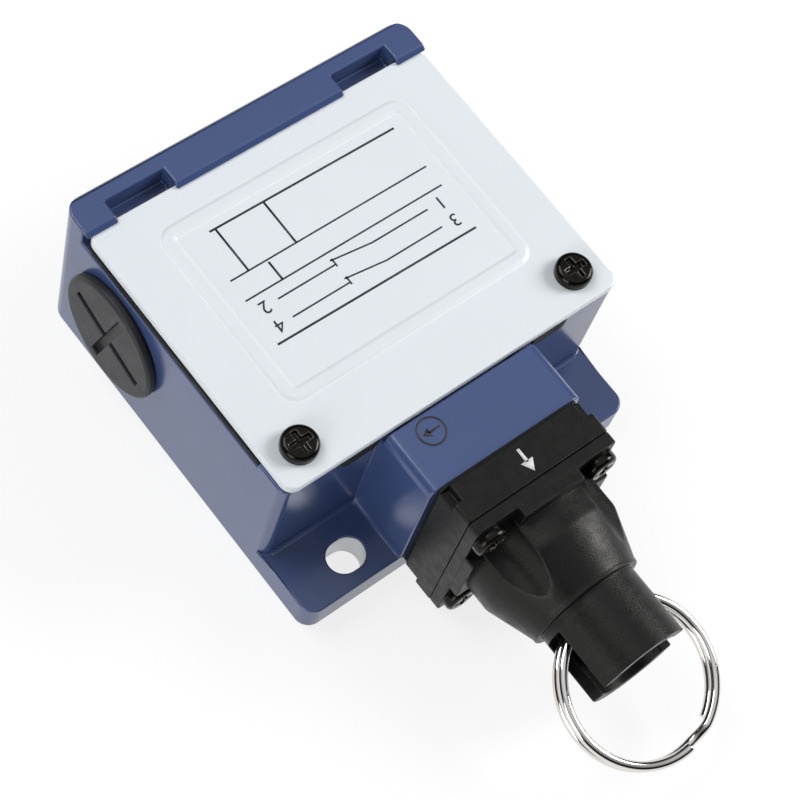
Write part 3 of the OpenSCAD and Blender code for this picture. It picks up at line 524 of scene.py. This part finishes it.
# %% Bare metal in the fixing slots
SLOT_MARGIN, UPRIGHT = 0.2, 0.5
fixing = MOUNTS["fixing_holes"]["dims"]
casting = pieces["housing"].data
casting.materials.append(bare_casting)
middles = np.empty(len(casting.polygons) * 3)
normals = np.empty(len(casting.polygons) * 3)
casting.polygons.foreach_get("center", middles)
casting.polygons.foreach_get("normal", normals)
middles, normals = middles.reshape(-1, 3) / MM, normals.reshape(-1, 3)
off_slot = np.abs(middles[:, :2]) - np.array([fixing["spacing_x_mm"] / 2, 0])
near = (np.abs(off_slot) < fixing["slot_length_mm"] / 2 + SLOT_MARGIN).all(axis=1)
in_slot = near & (np.abs(normals[:, 2]) < UPRIGHT)
casting.polygons.foreach_set("material_index", in_slot.astype(np.int32))
print("faces of bare metal:", int(in_slot.sum()))

# %% [markdown]
# ## Surfaces from formulas
#
# The bell and the ring are smooth shapes, and a bevelled copy of a faceted solid would show it. They
# are worked out as grids of points instead. A grid's columns run round the shape and close, its rows
# either close as well, as on a tube bent into a ring, or end in two flat caps.

# %% Outlines
MOST_OF_SIDE = 0.45


def soften(corners, reach, steps=4):
    """A closed outline with its corners rounded, each from `reach` before it to `reach` after it.

    A corner becomes the parabola (1-t)^2 start + 2t(1-t) corner + t^2 end, and its start and end are
    no further along their sides than MOST_OF_SIDE.
    """
    corners = np.asarray(corners, dtype=float)
    reach = np.broadcast_to(reach, len(corners))[:, None]
    back = np.roll(corners, 1, axis=0) - corners
    ahead = np.roll(corners, -1, axis=0) - corners
    back_length, ahead_length = [np.linalg.norm(side, axis=1, keepdims=True) for side in (back, ahead)]
    start = corners + back * np.minimum(reach / back_length, MOST_OF_SIDE)
    end = corners + ahead * np.minimum(reach / ahead_length, MOST_OF_SIDE)
    t = np.linspace(0, 1, steps + 1)[None, :, None]
    curve = (1 - t) ** 2 * start[:, None] + 2 * t * (1 - t) * corners[:, None] + t ** 2 * end[:, None]
    return curve.reshape(-1, 2)


def refine(outline, spacing):
    """The same closed outline with extra points along its sides, at most the spacing apart.

    Places along it are rounded to a thousandth, so one that falls on a corner isn't kept twice.
    """
    closed = np.vstack([outline, outline[:1]])
    along = np.concatenate([[0], np.cumsum(np.linalg.norm(np.diff(closed, axis=0), axis=1))])
    extra = np.arange(0, along[-1] - 0.01, spacing)
    at = np.unique(np.round(np.concatenate([along[:-1], extra]), 3))
    return np.stack([np.interp(at, along, closed[:, axis]) for axis in (0, 1)], axis=1)


def rounded_rectangle(half, corner, spacing):
    """A rectangle of half size (u, v) round the origin, with soft corners and divided sides."""
    return refine(soften([(-1, -1), (1, -1), (1, 1), (-1, 1)] * np.array(half), corner), spacing)


def shrunk_rows(half, edge, low, high, steps=4):
    """Stations from low to high and, for each, the share of its half size that a section keeps.

    Both ends are rounded: over the first and last `edge` of the length the inset follows a quarter
    circle, edge * (1 - sin).
    """
    turn = np.linspace(0, np.pi / 2, steps + 1)
    station = np.concatenate([low + edge * (1 - np.cos(turn)), high - edge * (1 - np.cos(turn[::-1]))])
    inset = edge * (1 - np.sin(np.concatenate([turn, turn[::-1]])))
    return station[:, None], 1 - inset[:, None] / half


# %% A piece from grids
JOIN_WITHIN = 1e-6


def grid_faces(rows, columns, joined):
    """Each face joins a point, its neighbour round the ring and the same two of the next row."""
    row = np.arange(rows if joined else rows - 1)[:, None]
    column = np.arange(columns)[None, :]
    here, after = row * columns, (row + 1) % rows * columns
    beside = (column + 1) % columns
    corners = [here + column, here + beside, after + beside, after + column]
    return np.stack(corners, axis=-1).reshape(-1, 4)


def grid_piece(name, grids, material, slot, body, replaced=()):
    """One mesh from (points in mm, "joined" or "capped") grids, with its faces turned outwards."""
    points, faces, count = [], [], 0
    for grid, ends in grids:
        rows, columns = grid.shape[:2]
        faces += (grid_faces(rows, columns, ends == "joined") + count).tolist()
        if ends == "capped":
            last_row = count + (rows - 1) * columns
            faces += [list(range(count, count + columns)), list(range(last_row, last_row + columns))]
        points.append(grid.reshape(-1, 3))
        count += rows * columns
    mesh = bpy.data.meshes.new(name)
    mesh.from_pydata(np.concatenate(points) * MM, [], faces)
    shape = bmesh.new()
    shape.from_mesh(mesh)
    bmesh.ops.remove_doubles(shape, verts=shape.verts, dist=JOIN_WITHIN)
    bmesh.ops.recalc_face_normals(shape, faces=shape.faces)
    shape.to_mesh(mesh)
    shape.free()
    mesh.shade_smooth()
    print(name, "has", len(mesh.polygons), "faces")
    return add_piece(name, mesh, material, slot, body, replaced)

# %% [markdown]
# ## The bell
#
# The moulded bell guides the pull rod and holds its spring. Its body is a turned section with four
# flutes, which leave room for the tool that turns each head screw. A boolean cut would leave ragged
# triangles, so the section's radius is instead the smaller of two formulas, its own and the flute's,
# with the columns of the grid following the flute's edge. The flange is a plate with the chamber's bore
# through it, and its four pads and the sleeve's two jaws are bars with rounded ends.

# %% Sizes of the bell
bell_low, bell_high = box_mm("bell")
AXIS_Z = (bell_low[2] + bell_high[2]) / 2
FLANGE_HALF = (bell_high[[0, 2]] - bell_low[[0, 2]]) / 2
FLANGE_THICKNESS, FLANGE_CORNER = 2.0, 0.9
SLEEVE_LENGTH, SLEEVE_RADIUS, SLEEVE_BORE, SLOT_HALF, SLOT_WEB = 11.7, 8.3, 6.4, 2.9, 1.4
MOUTH = bell_high[1] - bell_low[1]
BELL_FRONT = MOUTH - SLEEVE_LENGTH
BELL_BACK, ROOT_RADIUS, ROOT_LENGTH, CHAMBER_RADIUS = 0.5, 12.05, 7.9, 8.2
ROW_SPACING, FLUTE_COLUMNS = 0.28, 25
FRONT_RADIUS, FRONT_BAND = 9.45, 0.75
BUSH_RADIUS, GUIDE_LENGTH = 6.55, 5.0
FLUTE_RADIUS, FLUTE_REACH, FLUTE_BLEND = 4.5, 10.4 * np.sqrt(2), 0.16
print("bell, mm from the flange: front", round(BELL_FRONT, 2), "mouth", round(MOUTH, 2))


def on_axis(across, along, up):
    """Points in mm at a place across, along and above the pull axis, from the flange's back."""
    across, along, up = np.broadcast_arrays(across, along, up)
    return np.stack([across, bell_high[1] - along, AXIS_Z + up], axis=-1)

# %% Section of the turned body
bell_corners = np.array([  # along the axis, radius, reach of the round
    (BELL_BACK, CHAMBER_RADIUS, 0.05),
    (BELL_BACK, ROOT_RADIUS, 0.05),
    (ROOT_LENGTH, ROOT_RADIUS, 0.5),
    (BELL_FRONT - FRONT_BAND, FRONT_RADIUS, 0.3),
    (BELL_FRONT, FRONT_RADIUS, 0.7),
    (BELL_FRONT, SLEEVE_RADIUS, 0.15),
    (BELL_FRONT + SLOT_WEB, SLEEVE_RADIUS, 0.1),
    (BELL_FRONT + SLOT_WEB, SLEEVE_BORE, 0.05),
    (BELL_FRONT, SLEEVE_BORE, 0.05),
    (BELL_FRONT, BUSH_RADIUS, 0.05),
    (BELL_FRONT - GUIDE_LENGTH, BUSH_RADIUS, 0.05),
    (BELL_FRONT - GUIDE_LENGTH, CHAMBER_RADIUS, 0.05),
])
section = refine(soften(bell_corners[:, :2], bell_corners[:, 2]), ROW_SPACING)
along, radius = section[:, :1], section[:, 1:]
print("points in the section:", len(section))

# %% Flutes
# circles of radius r round the axis and f round a flute's middle, R away, cross where
# cos a = (r^2 + R^2 - f^2) / (2 r R)
meets = (radius ** 2 + FLUTE_REACH ** 2 - FLUTE_RADIUS ** 2) / (2 * radius * FLUTE_REACH)
LEAST_ANGLE = np.radians(0.3)
edge_angle = np.maximum(np.arccos(np.clip(meets, -1, 1)), LEAST_ANGLE)

# half the columns lie in a flute and half beside it, crowded towards its edge
crowded = np.cos(np.linspace(np.pi, 0, FLUTE_COLUMNS))[None, :]
in_flute = edge_angle * crowded
beside_flute = edge_angle + (np.pi / 2 - 2 * edge_angle) * (crowded[:, 1:-1] + 1) / 2
off_flute = np.concatenate([in_flute, beside_flute], axis=1)
nearest = off_flute - np.where(off_flute > np.pi / 4, np.pi / 2, 0)

# at angle a from a flute's middle its wall is R cos a - sqrt(f^2 - R^2 sin^2 a) from the axis
NO_FLUTE = 99.0
under_root = FLUTE_RADIUS ** 2 - (FLUTE_REACH * np.sin(nearest)) ** 2
wall = FLUTE_REACH * np.cos(nearest) - np.sqrt(np.maximum(under_root, 0))
flute = np.where(under_root > 0, wall, NO_FLUTE)

# the smaller of the two radii, less (blend - difference)^2 / 4 blend where they are close
rounding = np.maximum(FLUTE_BLEND - np.abs(flute - radius), 0) ** 2 / (4 * FLUTE_BLEND)
cut_radius = np.minimum(flute, radius) - rounding
angles = np.concatenate([off_flute + np.pi / 4 + quarter * np.pi / 2 for quarter in range(4)], axis=1)
turned_radius = np.tile(cut_radius, (1, 4))
bell_body = on_axis(turned_radius * np.cos(angles), along, turned_radius * np.sin(angles))
print("turned body:", bell_body.shape[:2], "rows and columns")

# %% Flange
# its rows go from the bore's edge out over the back, round the outline, and in over the front
outline = rounded_rectangle(FLANGE_HALF, FLANGE_CORNER, spacing=0.8)
station, keep = shrunk_rows(FLANGE_HALF[0], edge=0.2, low=0.0, high=FLANGE_THICKNESS)
turn = np.arctan2(outline[:, 1], outline[:, 0])
bore = on_axis(CHAMBER_RADIUS * np.cos(turn), np.array([[0.0]]), CHAMBER_RADIUS * np.sin(turn))
plate = on_axis(outline[:, 0] * keep, station, outline[:, 1] * keep)
flange = np.concatenate([bore, plate, bore - np.array([0, FLANGE_THICKNESS, 0])])
print("flange, mm:", np.round(2 * FLANGE_HALF, 1))

# %% Pads and jaws
def bar(middle, half, corner, edge, low, high, place, spacing=0.8):
    """A bar with a rounded rectangular section that shrinks towards its middle at both ends."""
    outline = rounded_rectangle(half, corner, spacing)
    station, keep_u = shrunk_rows(half[0], edge, low, high)
    keep_v = shrunk_rows(half[1], edge, low, high)[1]
    u, v = middle[0] + outline[:, 0] * keep_u, middle[1] + outline[:, 1] * keep_v
    return place(u, v, station), "capped"


def pad_beside(u, v, s):
    """Puts a pad on the left or right of the flange."""
    return on_axis(u, s, v)


def pad_above(u, v, s):
    """Puts a pad above or below the bell."""
    return on_axis(v, s, u)


# each pad reaches from inside the turned body to just short of the flange's side
PAD_HALF, PAD_BACK, PAD_FRONT, PAD_ROOT, PAD_INSET = 5.6, 0.1, 3.7, 9.0, 0.1
pads = []
for side in (-1, 1):
    for flange_half, place in zip(FLANGE_HALF, (pad_beside, pad_above)):
        reach = flange_half - PAD_INSET
        half = ((reach - PAD_ROOT) / 2, PAD_HALF)
        pads.append(bar((side * (reach + PAD_ROOT) / 2, 0), half, corner=0.3, edge=0.25,
                        low=PAD_BACK, high=PAD_FRONT, place=place))

JAW_MIDDLE, JAW_SUNK = (SLEEVE_RADIUS + SLEEVE_BORE) / 2, 0.4
jaw_half = ((np.pi / 2 - SLOT_HALF / JAW_MIDDLE) * JAW_MIDDLE, (SLEEVE_RADIUS - SLEEVE_BORE) / 2)
jaw_root = BELL_FRONT + SLOT_WEB - JAW_SUNK


def jaw_place(side):
    """Wraps a flat bar round the sleeve: u turns from the jaw's middle to the slot's flat side."""
    def place(u, v, s):
        radius = JAW_MIDDLE + v
        angle = np.pi / 2 + u / jaw_half[0] * (np.pi / 2 - np.arcsin(SLOT_HALF / radius))
        return on_axis(radius * np.cos(angle), s, side * radius * np.sin(angle))
    return place


jaws = [bar((0, 0), jaw_half, corner=0.3, edge=0.22, low=jaw_root, high=MOUTH, place=jaw_place(side),
            spacing=0.35) for side in (-1, 1)]
bell = grid_piece("bell_moulding", [(bell_body, "joined"), (flange, "joined"), *pads, *jaws],
                  black_moulding, SLOT_OF["bell"], BODY_OF["bell"], ["bell"])
keep_flat(bell)

# %% [markdown]
# ## The split ring
#
# A split ring is one wire wound into two turns that lie against each other, with a short crossing
# between its cut ends. A wire swept along that path shows every reflection, so it gets many more rows
# than the CAD solid. The path is a circle whose height changes from one turn to the other. The rod's
# hole is wider than the two turns, and the ring lies a little back in it, as one without a load does.

# %% Ring
WIRE, RISE, SLACK = 1.6, 0.82, 0.8
RING_ROWS, RING_SIDES = 561, 24
# angles: how far the ring hangs below level, where its crossing is, how far its ends stop short of two
# whole turns, and half the crossing's length
DROOP, CROSS_AT, GAP, CROSSING = np.radians([18.0, -71.0, 26.0, 9.0])
ring_low, ring_high = box_mm("split_ring")
pivot = np.array(JOINTS["ring_swing"]["pos_m"]) / MM
ring_radius = (ring_high[0] - ring_low[0] - WIRE) / 2
turned = np.linspace(-0.5, 0.5, RING_ROWS)[:, None] * (4 * np.pi - GAP)

# the height runs from one turn to the other as h (3 - h^2) / 2, with h from -1 to 1 over the crossing
layer = np.clip(turned / CROSSING, -1, 1)
layer = 0.5 * layer * (3 - layer ** 2)
around = np.linspace(0, 2 * np.pi, RING_SIDES + 1)[None, :-1]
out = ring_radius + WIRE / 2 * np.cos(around)
flat_x = out * np.cos(CROSS_AT + turned)
flat_y = out * np.sin(CROSS_AT + turned) - ring_radius + SLACK
flat_z = RISE * layer + WIRE / 2 * np.sin(around)
wire = np.stack([pivot[0] + flat_x, pivot[1] + flat_y * np.cos(DROOP) - flat_z * np.sin(DROOP),
                 pivot[2] + flat_y * np.sin(DROOP) + flat_z * np.cos(DROOP)], axis=-1)
ring = grid_piece("ring_wire", [(wire, "capped")], bright_nickel, SLOT_OF["split_ring"],
                  BODY_OF["split_ring"], ["split_ring"])
cut_ends = ring.modifiers.new("cut_ends", "BEVEL")
cut_ends.width = 0.12 * MM
cut_ends.segments = 3
cut_ends.angle_limit = np.radians(50)
keep_flat(ring)

# %% [markdown]
# ## Coil springs
#
# Three coil springs bear on pieces that move, so each changes length with the pull. A coil wound from a
# formula has round wire and closed end turns. The return spring is pressed together, and the two in the
# contact block draw out.

# %% Coil springs
CLOSED_PITCH = 1.04


def coil(mid_radius, wire, ends, axis_height, turns, steps=28, sides=12):
    """A round wire wound about Y, mm: its middle runs at (r cos a, y(t), r sin a) with a = 2 pi t.

    y climbs little more than a wire for each of the two closed end turns and evenly between them.
    """
    t = np.linspace(0, turns, turns * steps + 1)
    closed = np.minimum(t, 1) + np.maximum(t - turns + 1, 0)
    open_part = np.clip((t - 1) / (turns - 2), 0, 1)
    open_length = ends[1] - ends[0] - wire - 2 * CLOSED_PITCH * wire
    climb = wire / 2 + CLOSED_PITCH * wire * closed + open_length * open_part
    a, s = 2 * np.pi * t[:, None], np.linspace(0, 2 * np.pi, sides + 1)[None, :-1]
    reach = mid_radius + wire / 2 * np.cos(s)
    y = ends[0] + (climb[:, None] + wire / 2 * np.sin(s))
    return np.stack([reach * np.cos(a), y, axis_height + reach * np.sin(a)], axis=-1), "capped"


def spring_piece(node, wire, turns, body):
    """A coil in the place of a CAD spring, and the two ends of that spring's box along Y, in metres."""
    low, high = box_mm(node)
    height = (low[2] + high[2]) / 2
    grid = coil((high[0] - low[0] - wire) / 2, wire, (low[1], high[1]), height, turns)
    piece = grid_piece(node + "_coil", [grid], spring_wire, SLOT_OF[node], body, [node])
    return piece, low[1] * MM, high[1] * MM


# %% The three springs
travel = max(JOINTS["pull_slide"]["range_m"])
piece, low_y, high_y = spring_piece("return_spring", wire=1.1, turns=6, body=BODY_OF["return_spring"])
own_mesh(piece)
piece, low_y, high_y = spring_piece("contact_spring", wire=0.7, turns=5, body=None)
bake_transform(piece)
# the bridge moves half as far as the plunger
piece, low_y, high_y = spring_piece("bridge_spring", wire=0.4, turns=4, body=None)
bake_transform(piece)

# %% [markdown]
# ## The frame pressed into the cover
#
# A press raises the frame on the cover's face, so its sides run out softly and have no edge. The
# rounded copy of the cover is flat there, and the frame is a swept section on top of it.

# %% Pressed frame
def swept_frame(half, centre, radius, offsets, heights, steps=8):
    """A section carried round a rounded rectangle, mm.

    At turn a, its points are corner + (radius + offset)(cos a, sin a).
    """
    quarters = [np.linspace(0, np.pi / 2, steps) + quarter * np.pi / 2 for quarter in range(4)]
    a = np.concatenate(quarters)[:, None]
    across = np.repeat([1, -1, -1, 1], steps)[:, None] * (half[0] - radius)
    along = np.repeat([1, 1, -1, -1], steps)[:, None] * (half[1] - radius)
    reach = radius + offsets
    x, y = centre[0] + across + reach * np.cos(a), centre[1] + along + reach * np.sin(a)
    return np.stack(np.broadcast_arrays(x, y, heights), axis=-1), "joined"


FRAME_HALF, FRAME_CENTRE, FRAME_RADIUS = (21.9, 15.4), (0, 33.0), 1.7
HALF_WIDTH, SIDE_WIDTH, SUNK, SECTION_POINTS = 1.45, 0.95, 0.03, 25
offsets = np.linspace(-HALF_WIDTH, HALF_WIDTH, SECTION_POINTS)
rise = np.clip((HALF_WIDTH - np.abs(offsets)) / SIDE_WIDTH, 0, 1)
raised = cover_face - SUNK + (RIDGE + SUNK) * rise ** 2 * (3 - 2 * rise)
heights = np.concatenate([raised, [cover_face - 4 * SUNK] * 2])
offsets = np.concatenate([offsets, [HALF_WIDTH, -HALF_WIDTH]])
grid_piece("cover_frame", [swept_frame(FRAME_HALF, FRAME_CENTRE, FRAME_RADIUS, offsets, heights)],
           white_paint, SLOT_OF["cover"], BODY_OF["cover"])

# %% [markdown]
# ## Marks
#
# The cover carries a printed table, the neck a circle with an arrow and the head an arrow for the pull.
# An image texture would be the usual way. Here each mark is a film of ink a few hundredths of a
# millimetre thick, so it is sharp at any size. The table holds only ruled lines, two contacts and plain
# terminal numbers.

# %% Strokes of ink
INK = 0.03


def stroke(start, end, width):
    """The four corners of a straight line of ink: both ends moved half a width to either side."""
    start, end = np.array(start, dtype=float), np.array(end, dtype=float)
    ahead = (end - start) / np.linalg.norm(end - start)
    aside = np.array([-ahead[1], ahead[0]]) * width / 2
    return np.array([start - aside, end - aside, end + aside, start + aside])


def film(outline, height):
    """A flat film of ink over an outline, from its thickness under the surface to as much above it."""
    levels = np.array([height - INK, height + INK])[:, None]
    return np.stack(np.broadcast_arrays(outline[:, 0], outline[:, 1], levels), axis=-1), "capped"


def arrow(middle, pointing, tail, neck, tip, shaft_width, head_length, head_width, height):
    """A straight arrow of ink: a shaft from `tail` behind its middle to `neck` ahead of it, and a head.

    The head is a triangle whose tip is `tip` ahead of the middle.
    """
    middle, pointing = np.array(middle, dtype=float), np.array(pointing, dtype=float)
    shaft = stroke(middle - pointing * tail, middle + pointing * neck, shaft_width)
    point, base = middle + pointing * tip, middle + pointing * tip - pointing * head_length
    aside = np.array([-pointing[1], pointing[0]]) * head_width / 2
    return [film(shaft, height), film(np.array([point, base + aside, base - aside]), height)]

# %% Printed table on the cover
FINE, BROAD = 0.26, 0.34
CONTACT_ROWS = (31.4, 27.9)
table = [  # start, end and width of each line
    ((-15.8, 45.6), (18.5, 45.3), BROAD),
    ((-18.1, 37.4), (18.5, 37.4), FINE),
    ((-18.2, 33.6), (18.5, 33.6), FINE),
    ((-18.5, 25.5), (18.3, 25.1), BROAD),
    ((-14.8, 45.5), (-14.8, 37.4), BROAD),
    ((-6.1, 45.4), (-6.1, 37.4), BROAD),
    ((-11.5, 37.0), (-11.5, 33.6), BROAD),
]
for y in CONTACT_ROWS:
    table += [  # the wire to a contact, its slanted blade, the wire on from it and the stop
        ((14.0, y), (3.4, y), FINE),
        ((3.4, y), (-3.8, y + 0.9), FINE),
        ((-3.4, y), (-14.0, y), FINE),
        ((-3.4, y - 0.4), (-3.4, y + 1.1), FINE),
    ]
grid_piece("cover_print", [film(stroke(*row), cover_face) for row in table],
           black_ink, SLOT_OF["cover_gasket"], BODY_OF["cover"])

# %% Terminal numbers
NUMBER_SIZE, NUMBER_X = 3.1, 16.4
HALF_TURN = [-1, -1, 1]


def number_mark(text, at):
    """A plain number in the built-in typeface: filled, thickened, and read from the cable end."""
    letters = bpy.data.curves.new("number_" + text, "FONT")
    letters.body = text
    letters.size = NUMBER_SIZE
    letters.align_x = letters.align_y = "CENTER"
    letters.extrude = INK
    drawn = bpy.data.objects.new("number_" + text, letters)
    mesh = bpy.data.meshes.new_from_object(drawn)
    bpy.data.objects.remove(drawn)
    points = np.empty(len(mesh.vertices) * 3)
    mesh.vertices.foreach_get("co", points)
    points = points.reshape(-1, 3) * HALF_TURN + [*at, cover_face]
    mesh.vertices.foreach_set("co", (points * MM).ravel())
    add_piece("number_" + text, mesh, black_ink, SLOT_OF["cover_gasket"], BODY_OF["cover"])
    print("number", text, "at, mm:", at)


for right, left, y in zip("13", "24", CONTACT_ROWS):
    number_mark(right, (NUMBER_X, y))
    number_mark(left, (-NUMBER_X, y))

# %% Arrow in a circle on the neck
NECK_DROP, NECK_MARK = 0.8, (-8.0, 2.8)
CIRCLE_INNER, CIRCLE_OUTER, CIRCLE_STEPS = 2.02, 2.34, 64
neck_face = cover_face - NECK_DROP
turn = np.linspace(0, 2 * np.pi, CIRCLE_STEPS + 1)[:-1]
band = np.array([(CIRCLE_INNER, -INK), (CIRCLE_OUTER, -INK), (CIRCLE_OUTER, INK), (CIRCLE_INNER, INK)])
circle = np.stack(np.broadcast_arrays(NECK_MARK[0] + band[:, :1] * np.cos(turn),
                                      NECK_MARK[1] + band[:, :1] * np.sin(turn),
                                      neck_face + band[:, 1:]), axis=-1)
neck_arrow = arrow(NECK_MARK, (-1, 0), tail=1.5, neck=0.6, tip=1.6, shaft_width=0.34,
                   head_length=1.3, head_width=1.5, height=neck_face)
grid_piece("neck_mark", [(circle, "joined"), *neck_arrow],
           black_ink, SLOT_OF["cover_gasket"], BODY_OF["housing"])

# %% Arrow on the head
block_low, block_high = box_mm("head_block")
block_middle = (block_low[1] + block_high[1]) / 2
pull_arrow = arrow((0, block_middle), (0, -1), tail=1.9, neck=0.4, tip=2.1, shaft_width=0.5,
                   head_length=1.9, head_width=2.2, height=block_high[2])
grid_piece("pull_arrow", pull_arrow, white_ink, SLOT_OF["cover"], BODY_OF["head_block"])

# %% [markdown]
# ## Thread in the open entry
#
# The cable gland screws into the open entry. The CAD keeps the bore plain, because the machine checks
# measure it. The thread is a sleeve whose inner radius rises and falls along a helix.

# %% Thread
PITCH, THREAD_DEPTH, BEHIND, SET_BACK, CLEAR = 1.5, 0.7, 0.3, 0.3, 0.02
STATIONS, TURN_STEPS = 150, 72
entry = MOUNTS["cable_entry"]
entry_at = np.array(entry["pos_m"]) / MM
bore_radius = entry["dims"]["r_mm"]
inner_face = entry_at[1] - entry["dims"]["length_mm"]
outer_face = entry_at[1] - SET_BACK
station = np.linspace(outer_face, inner_face, STATIONS)[:, None]
turn = np.linspace(0, 2 * np.pi, TURN_STEPS + 1)[None, :-1]

# the crest climbs and falls once a pitch, is cut flat at top and bottom, and fades out at both ends
phase = (station / PITCH - turn / (2 * np.pi)) % 1.0
crest = 1 - np.abs(2 * phase - 1)
run_out = np.clip(np.minimum(outer_face - station, station - inner_face) / PITCH, 0, 1)
thread_radius = bore_radius - CLEAR - THREAD_DEPTH * np.clip(1.4 * crest - 0.2, 0, 1) * run_out
threaded = np.concatenate([thread_radius, np.full((2, TURN_STEPS), bore_radius + BEHIND)])
stations = np.concatenate([station, [[inner_face], [outer_face]]])
helix = np.stack(np.broadcast_arrays(entry_at[0] + threaded * np.cos(turn), stations,
                                     entry_at[2] + threaded * np.sin(turn)), axis=-1)
grid_piece("entry_thread", [(helix, "joined")], blue_paint, SLOT_OF["housing"], BODY_OF["housing"])

# %% [markdown]
# ## Floor
#
# The floor is a wide pale sheet under the mounting face. It is white where the camera or a glossy
# face looks at it, and plain matte white for everything else, so it still takes the part's soft shadow.

# %% Floor
FLOOR_HALF, FLOOR_DROP = 3.0, 0.0002
floor_corners = [(x * FLOOR_HALF, y * FLOOR_HALF, 0) for x, y in ((-1, -1), (1, -1), (1, 1), (-1, 1))]
floor_mesh = bpy.data.meshes.new("floor")
floor_mesh.from_pydata(floor_corners, [], [(0, 1, 2, 3)])
floor = bpy.data.objects.new("floor", floor_mesh)
bpy.context.scene.collection.objects.link(floor)
floor.location.z = -FLOOR_DROP
print("floor, m:", 2 * FLOOR_HALF, "each way")

# %% Finish of the floor
MATTE_WHITE, MATTE_SEEN, GLOW_SEEN = 0.8, 0.25, 0.78
floor_material = bpy.data.materials.new("floor_white")
floor_material.use_nodes = True
tree = floor_material.node_tree
tree.nodes.remove(tree.nodes["Principled BSDF"])
ray = add_node(tree, "ShaderNodeLightPath")
seen = add_node(tree, "ShaderNodeMath",
                {0: ray.outputs["Is Camera Ray"], 1: ray.outputs["Is Glossy Ray"]}, operation="MAXIMUM")
tone = add_node(tree, "ShaderNodeMapRange",
                {"Value": seen.outputs[0], "To Min": MATTE_WHITE, "To Max": MATTE_SEEN})
glow_level = add_node(tree, "ShaderNodeMath", {0: seen.outputs[0], 1: GLOW_SEEN}, operation="MULTIPLY")
matte = add_node(tree, "ShaderNodeBsdfDiffuse", {"Color": tone.outputs[0]})
glow = add_node(tree, "ShaderNodeEmission", {"Color": (1, 1, 1, 1), "Strength": glow_level.outputs[0]})
both = add_node(tree, "ShaderNodeAddShader", {0: matte.outputs[0], 1: glow.outputs[0]})
tree.links.new(both.outputs[0], tree.nodes["Material Output"].inputs["Surface"])
floor_mesh.materials.append(floor_material)
print("finish of the floor has", len(tree.nodes), "nodes")
